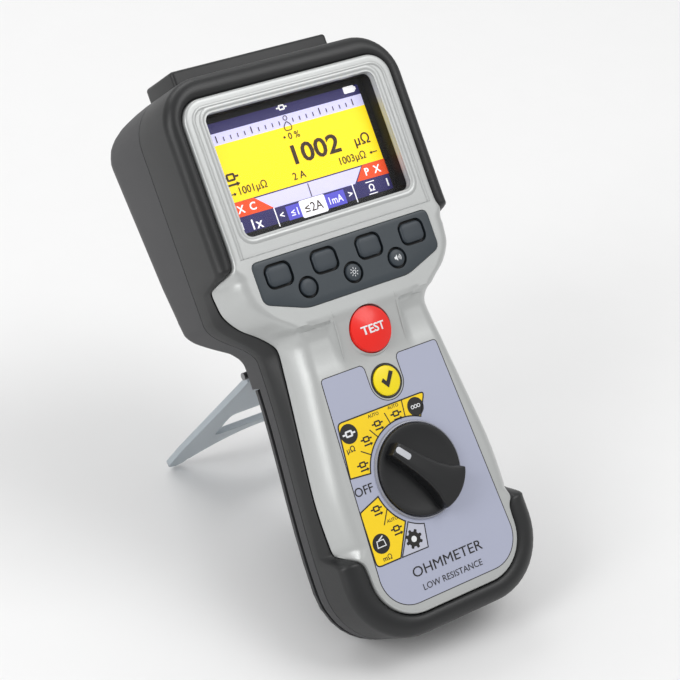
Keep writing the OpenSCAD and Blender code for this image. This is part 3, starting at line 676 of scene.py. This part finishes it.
# A near-black ring round the battery cover's edge: painted shade in the cover's gap.
groove = swept(lambda d: mirrored([p for p in case_half(d) if p[1] < 47.5]),
               [(1.1, -27.2), (1.1, -28.8), (2.6, -28.8), (2.6, -27.2)])
solid("door_gap", groove, GAP_SHADE_AND_GASKET_BLACK)
print("rear sections:", len(rear_rows), "door sections:", len(cover_rows))

# %% [markdown]
# ## Terminal block and stand
# The block carries the test-lead sockets and sits on top of the case behind the face. It is
# drawn in plan, so it is made lying down and swapped upright. The stand is a pale see-through
# plate with a window and an arch between its feet; a bevel softens its cut edges.

# %% Terminal block
UPRIGHT = Matrix(((1, 0, 0, 0), (0, 0, 1, 0), (0, 1, 0, 0), (0, 0, 0, 1)))
BLOCK = [(-35, -15), (35, -15), (35, -39), (28, -46), (-28, -46), (-35, -39)]


def upright(bm):
    bm.transform(UPRIGHT)
    return bm


block = solid("terminal_housing", upright(slab(rounded(BLOCK, 1.6), 157.2, 170, top_r=1.3)), BLOCK_BLACK,
              instead_of="terminal_block")
SOCKETS = (-24, -8, 8, 24)
carve(block, [upright(slab(circle(5.4, x, -31), 163, 180)) for x in SOCKETS]
      + [upright(slab(circle(3.25, x, -31), 150, 180)) for x in SOCKETS])

# %% Stand
opened = Matrix.Translation(PIVOT) @ Matrix.Rotation(math.radians(180 + fold["range_deg"][1]), 4, "X")
STAND_T, STAND_L, FOOT_R = 2.6, 100.3, 4.5
leg = mirrored([(34.0, 2.4), (34.0, 10), (38, STAND_L - 22)]
               + arc(38 - FOOT_R, STAND_L - FOOT_R, FOOT_R, 0, 180, 10))
stand = solid("stand_plate", slab(leg, -STAND_T / 2, STAND_T / 2), STAND_CLEAR, body="stand",
              instead_of="stand", place=FLAT @ opened)
ARCH_HALF, ARCH_V = 28, 79
arch = [(ARCH_HALF * x / 12, ARCH_V + (STAND_L - FOOT_R - ARCH_V) * (x / 12) ** 2) for x in range(-12, 13)]
arch += [(ARCH_HALF, 110), (-ARCH_HALF, 110)]
carve(stand, [slab(rounded_box(50, 24, 3, 0, 60), -5, 5), slab(arch, -5, 5),
              slab(rounded_box(80, 12, 0.1), -9, 9)], opened)
edge = stand.modifiers.new("softened", "BEVEL")
edge.width, edge.segments, edge.limit_method = 0.5 * MM, 2, "ANGLE"
settle(stand)
hub = turned([(1.55, -34.5), (2.6, -34.5), (3.0, -34.1), (3.0, 34.1), (2.6, 34.5), (1.55, 34.5)], n=32, loop=True)
hub.transform(Matrix.Rotation(math.radians(90), 4, "Y"))
solid("stand_hub", hub, STAND_CLEAR, body="stand", place=FLAT @ Matrix.Translation(PIVOT))
print("stand opened by", fold["range_deg"][1], "degrees")

# %% [markdown]
# ## Keypad
# A slate film panel lies over the face and the rubber keys come up through it. Each key stands
# in a moat, and a near-black plate at the moat's floor paints its shade. The keys are separate
# pieces, because each one presses on its own joint.

# %% Keypad panel and keys
panel = solid("keypad_panel", slab(KEYPAD, 1.2, 3.85, top_r=0.5), SLATE,
              instead_of="keypad_fascia")


def round_the_keys(grow, low, high):
    """A plate at each key, larger than the key by its moat."""
    soft = [rounded_box(11.7 + 2 * grow, 9.5 + 2 * grow, 3.0 + 2 * grow, x, y) for x, y in SOFT_KEYS]
    return [slab(shape, low, high) for shape in soft + [circle(4.2 + grow, x, y) for x, y in ROUND_KEYS]]


carve(panel, round_the_keys(0.05, 2.0, 9))
# Near-black plates at the floor of each key's moat: painted shade round the keys.
solid("key_moats", joined(round_the_keys(0, 1.9, 2.3)), GAP_SHADE_AND_GASKET_BLACK)
KEY_LOW, KEY_TOP = 1.2, 4.4
ROUND_CAP = [(0.02, KEY_LOW), (3.3, KEY_LOW), (3.3, 3.6), (3.1, 4.05), (2.6, 4.3), (1.6, 4.38), (0.02, KEY_TOP)]
caps = {f"soft_key_{i + 1}": slab(rounded_box(9.9, 7.7, 2.4, x, y, 6), KEY_LOW, KEY_TOP, top_r=1.0)
        for i, (x, y) in enumerate(SOFT_KEYS)}
caps |= {f"round_key_{i + 1}": turned(ROUND_CAP, x, y, 40) for i, (x, y) in enumerate(ROUND_KEYS)}
for key, cap in caps.items():
    solid(key.replace("key_", "key_cap_"), cap, KEY_SLATE, body=key, instead_of=key)
print("keys:", len(SOFT_KEYS) + len(ROUND_KEYS))

# %% [markdown]
# ## Printing
# Ink on film has almost no thickness, but it needs some here, so that it is a closed solid and
# never fights with the surface below it. A print is a thin plate, a line is a thin bar, and a
# band follows an outline. Lettering comes from Blender's own font and becomes a mesh first.

# %% Print helpers
# How thick ink is, and how tall the font's capitals are at size 1
INK, CAPITAL = 0.05, 0.73


def bar(x0, y0, x1, y1, width, low, high):
    along = Vector((x1 - x0, y1 - y0)).normalized() * width / 2
    side = Vector((-along.y, along.x))
    a, b = Vector((x0, y0)), Vector((x1, y1))
    return slab([tuple(p) for p in (a - side, b - side, b + side, a + side)], low, high)


def band(points, width, low, high):
    return swept(lambda d: drawn_in(points, d), [(0, low), (0, high), (width, high), (width, low)])


def words(text, u, v, w, height, weight=0.0, spread=1.0, thick=INK):
    """Lettering with the given capital height, centred at (u, v), its face at the height w + thick."""
    curve = bpy.data.curves.new("words", "FONT")
    curve.body, curve.align_x, curve.align_y = text, "CENTER", "CENTER"
    curve.size, curve.offset, curve.resolution_u = 1.0, weight, 3
    curve.extrude, curve.fill_mode = 0.5, "BOTH"
    holder = in_scene("words", curve)
    bpy.context.view_layer.update()
    mesh = bpy.data.meshes.new_from_object(holder.evaluated_get(bpy.context.evaluated_depsgraph_get()))
    bpy.data.objects.remove(holder)
    bpy.data.curves.remove(curve)
    bm = bmesh.new()
    bm.from_mesh(mesh)
    bpy.data.meshes.remove(mesh)
    k = height / CAPITAL
    ys = [p.co.y for p in bm.verts]
    xs = [p.co.x for p in bm.verts]
    middle = Vector(((min(xs) + max(xs)) / 2, (min(ys) + max(ys)) / 2, 0))
    bm.transform(Matrix.Translation((u, v, w + thick / 2)) @ Matrix.Diagonal((k * spread, k, thick, 1))
                 @ Matrix.Translation(-middle))
    return bm


def component_sign(u, v, w, size, arrow=False):
    """The sign for a part under test: a box with a lead on each side, and an arrow under it."""
    line = size * 0.13
    parts = [band(rounded_box(size * 0.62, size * 0.5, size * 0.1, 0, 0, 2), line, 0, INK),
             bar(-size * 0.56, 0, -size * 0.3, 0, line, 0, INK), bar(size * 0.3, 0, size * 0.56, 0, line, 0, INK)]
    if arrow:
        y, tip = -size * 0.48, size * 0.16
        parts.append(bar(-size * 0.36, y, size * 0.3, y, line, 0, INK))
        parts.append(slab([(size * 0.28, y - tip), (size * 0.52, y), (size * 0.28, y + tip)], 0, INK))
    return moved(parts, u, v, w)


def moved(parts, u, v, w, spin=0.0):
    bm = joined(parts)
    bm.transform(Matrix.Translation((u, v, w)) @ Matrix.Rotation(math.radians(spin), 4, "Z"))
    return bm


def polar(r, degrees):
    return (r * math.cos(math.radians(degrees)), r * math.sin(math.radians(degrees)))


# %% [markdown]
# ## The screen
# The lit screen sits deep behind its window, inside a black well, so its right edge is seen
# past a dark wall. The well stands in for the black gasket, and its near-black colour also paints
# the shade in the recess. Its picture is built from plain coloured fields with the numbers on top.

# %% Screen well and window
SCREEN_W, SCREEN_V = -5.4, 125.2
HALF_U, HALF_V = 35.3, 23.2
LAYER = 0.02
# The well has the gasket's black, darkened to near-black as painted shade in the recess.
well = [(-0.6, -6.0), (-0.6, 0.55), (0.0, 0.55), (0.15, -5.3), (2.6, -5.3), (2.6, -6.0)]
solid("screen_well", swept(display_outline, well), GAP_SHADE_AND_GASKET_BLACK,
      instead_of="display_gasket")
lift = [0.0]


def field(points, finish, name):
    """One flat patch of the picture, each a hair above the last."""
    lift[0] += LAYER
    points = [(x, y + SCREEN_V) for x, y in points]
    return solid(name, slab(points, SCREEN_W - 0.3, SCREEN_W + lift[0]), finish)


solid("screen_panel", slab(rounded_box(2 * HALF_U, 2 * HALF_V, 0.4, 0, SCREEN_V), -6.2, SCREEN_W), NAVY,
      instead_of="display_module")
field([(-HALF_U, 12.4), (HALF_U, 12.4), (HALF_U, 16.9), (-HALF_U, 16.9)], LILAC, "screen_scale")
field([(-HALF_U, -9.6), (HALF_U, -9.6), (HALF_U, 12.4), (-HALF_U, 12.4)], YELLOW, "screen_field")
field([(-24.0, -10.1), (-18.0, -15.6), (19.2, -15.8), (24.2, -10.1)], LILAC, "screen_tabs")
field([(-HALF_U, -9.6), (-24.4, -9.8), (-17.8, -15.5), (-HALF_U, -15.3)], ORANGE, "screen_current_tab")
field([(HALF_U, -9.6), (24.8, -9.8), (20.4, -15.3), (HALF_U, -15.6)], ORANGE, "screen_potential_tab")
field([(-13.2, -16.4), (-6.0, -16.4), (-6.0, -21.8), (-13.2, -21.8)], VIOLET, "screen_low_range")
field([(4.0, -16.4), (13.2, -16.4), (13.2, -21.9), (4.0, -21.9)], VIOLET, "screen_fine_range")
chosen = rounded([(-7.2, -15.9), (4.3, -15.9), (4.3, -22.6), (-7.2, -22.6)], 0.9)
field(chosen, SCREEN_WHITE, "screen_chosen_range")

# %% Screen lettering
TOP = SCREEN_W + lift[0] + LAYER


def at(text, u, v, height, weight=0.0, spread=1.0):
    return words(text, u, v + SCREEN_V, TOP, height, weight, spread)


def stroke(x0, y0, x1, y1, width):
    return bar(x0, y0 + SCREEN_V, x1, y1 + SCREEN_V, width, TOP, TOP + INK)


def arrowhead(u, v, spin=0.0):
    return moved([slab([(0, 0.7), (1.1, 0), (0, -0.7)], 0, INK)], u, v + SCREEN_V, TOP, spin)


needle = [(-2.2, 10.6), (0.9, 10.6), (1.3, 12.6), (-0.6, 14.6), (-2.5, 12.6)]
dark = [at("1002", 7.9, 1.3, 7.4, 0.022, 1.16), at("µΩ", 28.6, -0.4, 4.2, 0.012), at("• 0 %", -0.4, 8.6, 2.6, 0.01),
        at("2 A", -2.9, -6.5, 2.9, 0.008), at("1001µΩ", -23.3, -6.2, 3.0, 0.008, 0.95),
        at("1003µΩ", 21.9, -6.2, 3.0, 0.008, 0.95), component_sign(-30.9, -0.2 + SCREEN_V, TOP, 6.0, arrow=True),
        stroke(-34.6, -6.6, -31.6, -6.6, 0.42), stroke(30.6, -6.0, 33.4, -6.0, 0.42),
        arrowhead(-31.8, -6.6), arrowhead(30.9, -6.0, 180),
        at("≤2A", -1.4, -19.2, 3.6, 0.006, 0.95), stroke(-0.7, -10.4, -0.8, -15.6, 0.35),
        band(circle(1.0, -0.6, 15.6 + SCREEN_V, 24), 0.3, TOP, TOP + INK),
        band(rounded([(x, y + SCREEN_V) for x, y in needle], 0.9), 0.35, TOP, TOP + INK)]
solid("screen_figures", joined(dark), SCREEN_DARK)
light = [component_sign(-0.6, 19.8 + SCREEN_V, TOP, 4.2), at("1x", -26.6, -19.2, 4.0, 0.012),
         stroke(-33.0, -17.2, -33.0, -20.2, 0.6), stroke(33.2, -17.2, 33.2, -20.2, 0.6),
         stroke(-18.0, -15.5, -18.0, -22.8, 0.45), stroke(17.6, -15.5, 17.6, -22.8, 0.45),
         at("<", -15.6, -18.9, 2.6, 0.02), at(">", 15.6, -18.9, 2.6, 0.02), at("≤1", -10.0, -19.2, 3.0, 0.006, 0.9),
         at("1mA", 8.8, -19.2, 3.0, 0.006, 0.86), at("X  C", -28.8, -12.6, 3.0, 0.02),
         at("P  X", 28.6, -12.6, 3.0, 0.02), at("Ω", 25.6, -18.9, 2.6, 0.02),
         stroke(23.6, -16.6, 27.6, -16.6, 0.35), stroke(23.6, -21.3, 27.6, -21.3, 0.35),
         slab(rounded_box(5.0, 2.6, 0.4, 30.4, 19.6 + SCREEN_V), TOP - 0.05, TOP + INK),
         slab(rounded_box(0.7, 1.2, 0.1, 33.2, 19.6 + SCREEN_V), TOP - 0.05, TOP + INK)]
solid("screen_marks", joined(light), SCREEN_WHITE)
print("screen layers:", round(lift[0] / LAYER))

# %% [markdown]
# ## Range label
# The label is a grey film with a notch round the OK button. Yellow fields show the ranges that
# measure, and each stop of the dial has its sign. Fields are outlines along the dial's collar,
# so their inner edges are arcs about the knob's centre.

# %% Label film and fields
LABEL_W = 0.3
RING_R = 20.0
GEAR = (-11.4, -23.4)
notch = [(8.9, 43.8), (7.9, 43.2), (7.3, 42.0)] + arc(0, OK_V, 7.3, 0, -84, 12)
shoulder = rounded([(30, 0), (26.6, 43.8), (8.4, 43.8)], 1.6)[5:10]
LABEL = mirrored(arc(18, -33, 13, -90, 0, 12) + shoulder + notch)
solid("label_sheet", slab(LABEL, 0.05, LABEL_W + 0.05), LABEL_FILM,
      instead_of="range_label")
HIGH = LABEL_W + 0.05
upper = rounded([(-28.9, 4.4), (-26.3, 26.7), (14.2, 26.8), polar(RING_R, 62)], 2.2)[3:15]
upper += arc(0, 0, RING_R, 63, 166, 24)
lower = rounded([(-29.6, -5.8), (-30.4, -28.2), (-19.2, -28.2), polar(RING_R, 234)], 2.4)[2:10]
lower += [(-19.2, -28.2)] + arc(0, 0, RING_R, 233, 190, 14)
gear_cell = [(-19.0, -28.2), (-6.6, -28.4)] + arc(0, 0, RING_R, 256, 235, 8)
for part, points, finish in (("upper", upper, LABEL_YELLOW), ("lower", lower, LABEL_YELLOW),
                             ("gear", gear_cell, LABEL_GREY)):
    solid(f"label_{part}_field", slab(points, HIGH - 0.2, HIGH + 0.03), finish)

# %% Label ink
PRINT_W = HIGH + 0.03
SIGN_W = PRINT_W + INK
ink = [band(upper, 0.5, HIGH, SIGN_W), band(lower, 0.5, HIGH, SIGN_W), band(gear_cell, 0.4, HIGH, SIGN_W)]
DIVIDERS = ((145.6, 145.6, 24.8), (124.6, 124.6, 24.6), (103, 103, 24.8), (83, 83, 26.6), (207, 214, 25.8))
for start, end, reach in DIVIDERS:
    ink.append(bar(*polar(RING_R + 0.2, start), *polar(reach, end), 0.4, HIGH, SIGN_W))
for u, v in ((-21.6, 9.2), (-16.6, 17.5), (-9.9, 21.5), (-0.9, 22.5), (-22.3, -7.7), (-17.0, -17.2)):
    ink.append(component_sign(u, v, PRINT_W, 4.4, arrow=True))
ink += [words("AUTO", u, v, PRINT_W, 1.3, 0.006) for u, v in ((-10.4, 25.0), (-1.2, 25.4), (-17.4, -13.6))]
ink += [words("µΩ", -24.2, 15.8, PRINT_W, 2.2, 0.012), words("mΩ", -24.6, -25.8, PRINT_W, 2.0, 0.008),
        words("OFF", -24.7, 0.3, PRINT_W, 3.5, 0.004)]
SIGNS = [(-22.8, 21.6, 3.74), (-25.2, -20.3, 3.7), (8.2, 22.3, 3.6)]
ink += [slab(circle(r, u, v), HIGH - 0.1, SIGN_W) for u, v, r in SIGNS]
tooth = (2.75, 3.6, 3.7, 3.7, 3.6, 2.75, 2.75, 2.75)
teeth = [polar(tooth[i % 8], 360 * i / 64) for i in range(64)]
ink.append(slab([(GEAR[0] + x, GEAR[1] + y) for x, y in teeth], PRINT_W, SIGN_W))
ink += [words("OHMMETER", -0.5, -35.0, PRINT_W, 4.0, spread=1.12), words("LOW RESISTANCE", -0.5, -41.3, PRINT_W, 2.5)]
ink.append(band(drawn_in(LABEL, -0.05), 0.3, 0.1, HIGH + INK * 0.5))
solid("label_ink", joined(ink), INK_BLACK)
marks = [component_sign(-22.8, 21.6, SIGN_W, 5.0), slab(circle(1.15, *GEAR, 24), PRINT_W, SIGN_W + INK),
         band([(-27.3, -21.6), (-23.2, -21.6), (-23.6, -18.9), (-26.9, -18.9)], 0.35, SIGN_W, SIGN_W + INK),
         bar(-25.9, -18.9, -23.7, -17.7, 0.45, SIGN_W, SIGN_W + INK)]
marks += [band(circle(0.75, 6.8 + 1.4 * k, 22.4, 16), 0.28, SIGN_W, SIGN_W + INK) for k in range(3)]
solid("label_signs", joined(marks), INK_WHITE)

# %% [markdown]
# ## Dial
# The knob is one black moulding: a low disc with a flat grip that is narrow at the pointer and
# widens like an axe to the far rim. Its light insert shows the chosen range. All of it turns
# with the shaft, so it rides on the knob's body. The collar round it belongs to the case.

# %% Collar and knob
collar = [(17.8, 0.2), (17.8, 1.2), (18.05, 1.5), (18.4, 1.4), (18.65, 0.9), (18.75, 0.36), (18.75, 0.2)]
solid("dial_collar", turned(collar, n=96, loop=True), COLLAR_GREY,
      instead_of="knob_collar")
KNOB_R, KNOB_TOP = 17.6, 7.0
# The last stop is at 252 degrees round the face, and the grip is drawn with its pointer at 180
LAST_STOP, DRAWN_AT = 252, 180
TO_POINTER = Matrix.Rotation(math.radians(LAST_STOP - turn["range_deg"][1] - DRAWN_AT), 4, "Z")
disc = turned([(0.02, 1.0), (17.4, 1.0), (KNOB_R, 1.2), (KNOB_R, 2.1), (17.3, 2.5), (16.6, 2.6), (15.0, 2.3),
               (9.0, 1.9), (0.02, 1.9)], n=96)


def grip_outline(grow):
    half = arc(0, 0, 17.2 + grow, 0, 31, 8)
    half += [(12.6, 8.0 + grow), (9.0, 6.0 + grow), (4.0, 4.5 + grow), (-2.0, 3.6 + grow), (-9.0, 3.1 + grow),
             (-14.6 - grow, 2.7 + grow)]
    return half + [(x, -y) for x, y in reversed(half[1:])]


grip = []
for grow, w in ((0.35, 1.7), (0.3, 3.0), (0.15, 5.6), (0.0, 6.4), (-0.15, 6.75), (-0.4, 6.93), (-0.9, KNOB_TOP)):
    grip.append([(x, y, w) for x, y in rounded(grip_outline(grow), 0.7, 3)])
grip_bm = loft(grip)
for bm in (disc, grip_bm):
    bm.transform(TO_POINTER)
solid("dial_knob", joined([disc, grip_bm]), KNOB_BLACK, body="knob", instead_of="knob",
      crisp=40)
insert = slab(rounded_box(6.8, 2.6, 1.0, -10.9, 0), 6.2, KNOB_TOP + 0.12, top_r=0.3)
insert.transform(TO_POINTER)
solid("dial_pointer", insert, POINTER_GREY, body="knob", instead_of="knob_pointer")

# %% [markdown]
# ## Buttons
# TEST is a red dome and OK a flat yellow disc with a tick. They are turned pieces. The word is
# laid over the dome by lowering each of its points with the dome's own curve.

# %% TEST and OK
def dome(r, crown, rim, radius):
    return rim + (crown - rim) * (1 - (r / radius) ** 2)


TEST_R, TEST_CROWN, TEST_RIM = 8.95, 4.2, 2.4
cap = [(0.02, -1.2), (TEST_R, -1.2), (TEST_R, 1.5)]
cap += [(r, dome(r, TEST_CROWN, TEST_RIM, TEST_R)) for r in (8.6, 7.6, 6.4, 5.0, 3.4, 1.8, 0.02)]
solid("test_cap", turned(cap, 0, TEST_V, 72), TEST_RED, body="test_button",
      instead_of="test_button")
word = words("TEST", 0, TEST_V, 0, 3.3, 0.018, 1.05, 0.3)
for vert in word.verts:
    vert.co.z += dome(math.hypot(vert.co.x, vert.co.y - TEST_V), TEST_CROWN, TEST_RIM, TEST_R) - 0.1
solid("test_word", word, INK_WHITE, body="test_button")
OK_R = 5.7
ok = [(0.02, -1.2), (OK_R, -1.2), (OK_R, 0.7), (5.4, 0.95)]
ok += [(r, dome(r, 1.35, 0.9, OK_R)) for r in (5.0, 3.4, 1.8, 0.02)]
solid("ok_cap", turned(ok, 0, OK_V, 56), OK_YELLOW, body="ok_button", instead_of="ok_button")
tick = [(-2.8, 0.2), (-1.7, 1.3), (-0.7, -0.2), (1.9, 3.3), (3.3, 2.5), (-0.5, -2.7)]
solid("ok_tick", slab([(x, y + OK_V) for x, y in tick], 1.0, 1.4), INK_BLACK, body="ok_button")
ring = turned([(6.1, 0.25), (6.1, 0.45), (6.7, 0.45), (6.7, 0.25)], 0, OK_V, 56, loop=True)
solid("ok_ring", ring, INK_BLACK)

# %% Key symbols
sun = [band(circle(0.75, 0, 0, 24), 0.22, 0, INK)]
sun += [bar(*polar(1.15, 45 * k), *polar(1.75, 45 * k), 0.24, 0, INK) for k in range(8)]
solid("backlight_sign", moved(sun, *ROUND_KEYS[1], KEY_TOP), INK_WHITE, body="round_key_2")
horn = [slab([(-1.5, -0.45), (-1.0, -0.45), (-0.2, -1.2), (-0.2, 1.2), (-1.0, 0.45), (-1.5, 0.45)], 0, INK)]
for r in (0.6, 1.1, 1.6):
    wave = arc(-0.2, 0, r, -42, 42, 6)
    horn += [bar(*a, *b, 0.22, 0, INK) for a, b in zip(wave, wave[1:])]
solid("sound_sign", moved(horn, *ROUND_KEYS[2], KEY_TOP), INK_WHITE, body="round_key_3")

# %% [markdown]
# ## What repeats
# The scale's ticks, the screws and the grip ribs of the battery cover repeat, so a Geometry
# Nodes tree places them: it puts one shape on each given point, makes the copies real and sets
# their finish. The tree has named inputs, so one tree serves them all.

# %% Repeating tree
def repeat_tree():
    tree = bpy.data.node_groups.new("repeat_on_points", "GeometryNodeTree")
    face = tree.interface
    face.new_socket("Points", in_out="INPUT", socket_type="NodeSocketGeometry")
    shape = face.new_socket("Shape", in_out="INPUT", socket_type="NodeSocketObject")
    size = face.new_socket("Size", in_out="INPUT", socket_type="NodeSocketFloat")
    finish = face.new_socket("Finish", in_out="INPUT", socket_type="NodeSocketMaterial")
    face.new_socket("Geometry", in_out="OUTPUT", socket_type="NodeSocketGeometry")
    start, end = tree.nodes.new("NodeGroupInput"), tree.nodes.new("NodeGroupOutput")
    info, place = tree.nodes.new("GeometryNodeObjectInfo"), tree.nodes.new("GeometryNodeInstanceOnPoints")
    real, paint = tree.nodes.new("GeometryNodeRealizeInstances"), tree.nodes.new("GeometryNodeSetMaterial")
    for giver, out, taker, into in ((start, "Points", place, "Points"), (start, "Shape", info, "Object"),
                                    (info, "Geometry", place, "Instance"), (start, "Size", place, "Scale"),
                                    (place, "Instances", real, "Geometry"), (real, "Geometry", paint, "Geometry"),
                                    (start, "Finish", paint, "Material"), (paint, "Geometry", end, "Geometry")):
        tree.links.new(giver.outputs[out], taker.inputs[into])
    return tree, shape.identifier, size.identifier, finish.identifier


REPEAT, SHAPE_ID, SIZE_ID, FINISH_ID = repeat_tree()


def repeated(name, shape_bm, points, finish, body="case", instead_of=None, size=1.0):
    """Places the shape, modelled at the middle of the flat frame, on each point (u, v, w)."""
    bmesh.ops.recalc_face_normals(shape_bm, faces=shape_bm.faces)
    shape = bpy.data.objects.new(name + "_shape", as_mesh(shape_bm, name + "_shape", Matrix()))
    spots = bpy.data.meshes.new(name)
    spots.from_pydata([tuple(p) for p in points], [], [])
    piece = in_scene(name, spots)
    nodes = piece.modifiers.new("repeat", "NODES")
    nodes.node_group = REPEAT
    nodes[SHAPE_ID], nodes[SIZE_ID], nodes[FINISH_ID] = shape, size, finish
    settle(piece)
    piece.data.transform(FLAT)
    piece.data.shade_smooth()
    piece.data.set_sharp_from_angle(angle=math.radians(35))
    bpy.data.objects.remove(shape)
    dress(piece, body, instead_of)
    return piece


# %% Ticks, screws and ribs
TICK_W = SCREEN_W + lift[0]
long_ticks = [(-31.3 + 15.35 * k, 14.6 + SCREEN_V, TICK_W) for k in range(5) if k != 2]
short_ticks = [(-31.3 + 3.07 * k, 14.2 + SCREEN_V, TICK_W) for k in range(21) if k % 5]
long_tick, short_tick = (slab(rounded_box(w, h, 0.05, n=1), 0, INK) for w, h in ((0.45, 2.6), (0.38, 1.6)))
repeated("scale_long_ticks", long_tick, long_ticks, SCREEN_DARK)
repeated("scale_short_ticks", short_tick, short_ticks, SCREEN_DARK)


def hex_ring(r, w):
    ring = []
    for i in range(36):
        a = math.tau * i / 36
        reach = r * math.cos(math.pi / 6) / math.cos(a % (math.pi / 3) - math.pi / 6)
        ring.append((reach * math.cos(a), reach * math.sin(a), w))
    return ring


def round_ring(r, w):
    return [(x, y, w) for x, y in circle(r, n=36)]


head = [round_ring(2.5, 2.2), round_ring(2.5, 0.5), round_ring(2.3, 0.15), round_ring(1.9, 0.0), hex_ring(1.35, 0.0),
        hex_ring(1.3, 1.3), hex_ring(0.1, 1.35)]
SCREW_SPOTS = [(x, y, -32.0) for x in (-44.2, 44.2) for y in (88, 144)]
DOOR_SPOTS = [(x, -51.2, -33.1) for x in (-12, 12)]
carve(rear, [slab(circle(3.2, x, y, 32), -80, -30.0) for x, y, _ in SCREW_SPOTS])
repeated("rear_screws", loft(head), SCREW_SPOTS, SCREW_STEEL)
carve(bpy.data.objects["battery_door"], [slab(circle(2.9, x, y, 32), -80, -31.2) for x, y, _ in DOOR_SPOTS])
repeated("door_screws", loft(head), DOOR_SPOTS, SCREW_STEEL, instead_of="cover_screws")
rib = slab(rounded_box(26, 0.9, 0.44), -0.45, 0.3, low_r=0.35)
repeated("door_ribs", rib, [(0, 30 + 2.4 * k, -33.5) for k in range(5)], REAR_GREY)
print("ticks:", len(long_ticks) + len(short_ticks), "screws:", len(SCREW_SPOTS) + len(DOOR_SPOTS))

# %% [markdown]
# ## Window and inner parts
# The window is clear with a soft reflection. The parts inside can't be seen from the front,
# but they are real, so they keep their CAD shape and get their own finishes.

# %% Window
def clear_window():
    material, tree, shader, place = new_material("window_clear")
    see = add_node(tree, "ShaderNodeBsdfTransparent")
    shine = add_node(tree, "ShaderNodeFresnel", {}, {"IOR": 1.18})
    smudge = grain(tree, place, 60.0)
    tree.links.new((smudge * 0.05 + 0.04).socket, shader.inputs["Roughness"])
    shader.inputs["Base Color"].default_value = (0.9, 0.92, 0.95, 1)
    mix = tree.nodes.new("ShaderNodeMixShader")
    tree.links.new(shine.socket, mix.inputs[0])
    tree.links.new(see.socket, mix.inputs[1])
    tree.links.new(shader.outputs[0], mix.inputs[2])
    tree.links.new(mix.outputs[0], tree.nodes["Material Output"].inputs["Surface"])
    return material


KEPT = {"case_seal": SEAL_BLACK, "case_screws": SCREW_STEEL, "display_window": clear_window(),
        "keypad_mat": SEAL_BLACK, "main_board": BOARD_GREEN, "tact_switches": PART_BLACK,
        "rotary_switch": SWITCH_GREEN, "buzzer": PART_BLACK,
        "measuring_board": BOARD_GREEN, "board_spacers": BRASS, "heat_sink": ALUMINIUM, "current_shunt": ALLOY,
        "fuse": CERAMIC, "fuse_clips": SPRING_STEEL, "terminal_board": BOARD_GREEN, "socket_sleeves": BRASS,
        "battery_tray": PART_BLACK, "battery_cells": CELL_WRAP, "battery_contacts": SPRING_STEEL,
        "battery_springs": SPRING_STEEL, "stand_pins": SCREW_STEEL, "knob_shaft": SPRING_STEEL}
for node, finish in KEPT.items():
    mesh = frame["nodes"][node].data
    mesh.materials.clear()
    mesh.materials.append(finish)
print("kept CAD nodes:", len(KEPT))

# %% [markdown]
# ## Floor, light and camera
# A plain pale floor and big soft lamps stand in for a small studio. The lamps are wide, so the
# black plastic shows long soft highlights. The camera is turned to the usual catalogue view:
# from the front left and above, with a slight roll.

# %% Floor
floor_material = moulded("studio_floor", (236, 236, 236), 0.9, 0.0, 0.01)
floor_mesh = bpy.data.meshes.new("studio_floor")
FLOOR_HALF, FLOOR_Z = 6, -0.0006
corners = [(FLOOR_HALF * x, FLOOR_HALF * y, FLOOR_Z) for x, y in ((-1, -1), (1, -1), (1, 1), (-1, 1))]
floor_mesh.from_pydata(corners, [], [(0, 1, 2, 3)])
floor_mesh.materials.append(floor_material)
floor = in_scene("studio_floor", floor_mesh)

# %% Lights
def lamp(name, place, target, size, power):
    light = bpy.data.lights.new(name, "AREA")
    light.shape, light.size, light.size_y, light.energy = "RECTANGLE", size[0], size[1], power
    holder = in_scene(name, light)
    aim = (Vector(target) - Vector(place)).to_track_quat("-Z", "Y")
    holder.matrix_world = Matrix.Translation(place) @ aim.to_matrix().to_4x4()


CENTRE = (0, 0, 0.1)
lamp("key_softbox", (0.7, -0.6, 1.5), CENTRE, (0.9, 0.9), 10)
lamp("left_softbox", (-1.3, -0.1, 0.9), CENTRE, (0.5, 1.2), 9)
lamp("top_softbox", (0.0, 1.0, 1.2), CENTRE, (1.4, 0.5), 6)
scene = bpy.context.scene
scene.world = bpy.data.worlds.new("studio")
scene.world.use_nodes = True
sky = scene.world.node_tree.nodes["Background"]
sky.inputs["Color"].default_value = (1, 1, 1, 1)
sky.inputs["Strength"].default_value = 0.55
scene.view_settings.view_transform = "Standard"

# %% Camera
LENS, SENSOR, DISTANCE = 100.59, 36.0, 0.7035
AZIMUTH, ELEVATION, ROLL = math.radians(37.05), math.radians(34.04), math.radians(3.466)
AIM = FLAT @ Vector((-12.92, 55.26, 0))
level_way = math.cos(ELEVATION)
forward = Vector((math.sin(AZIMUTH) * level_way, math.cos(AZIMUTH) * level_way, -math.sin(ELEVATION)))
right = forward.cross(Vector((0, 0, 1))).normalized()
above = right.cross(forward)
camera_right = right * math.cos(ROLL) + above * math.sin(ROLL)
camera_up = camera_right.cross(forward)
lens = bpy.data.cameras.new("catalogue_view")
lens.lens, lens.sensor_width, lens.sensor_fit = LENS, SENSOR, "HORIZONTAL"
camera = in_scene("catalogue_view", lens)
turned_to = Matrix((camera_right, camera_up, -forward)).transposed().to_4x4()
camera.matrix_world = Matrix.Translation(AIM - forward * DISTANCE) @ turned_to
scene.camera = camera
print("camera at", [round(c, 3) for c in camera.matrix_world.translation])
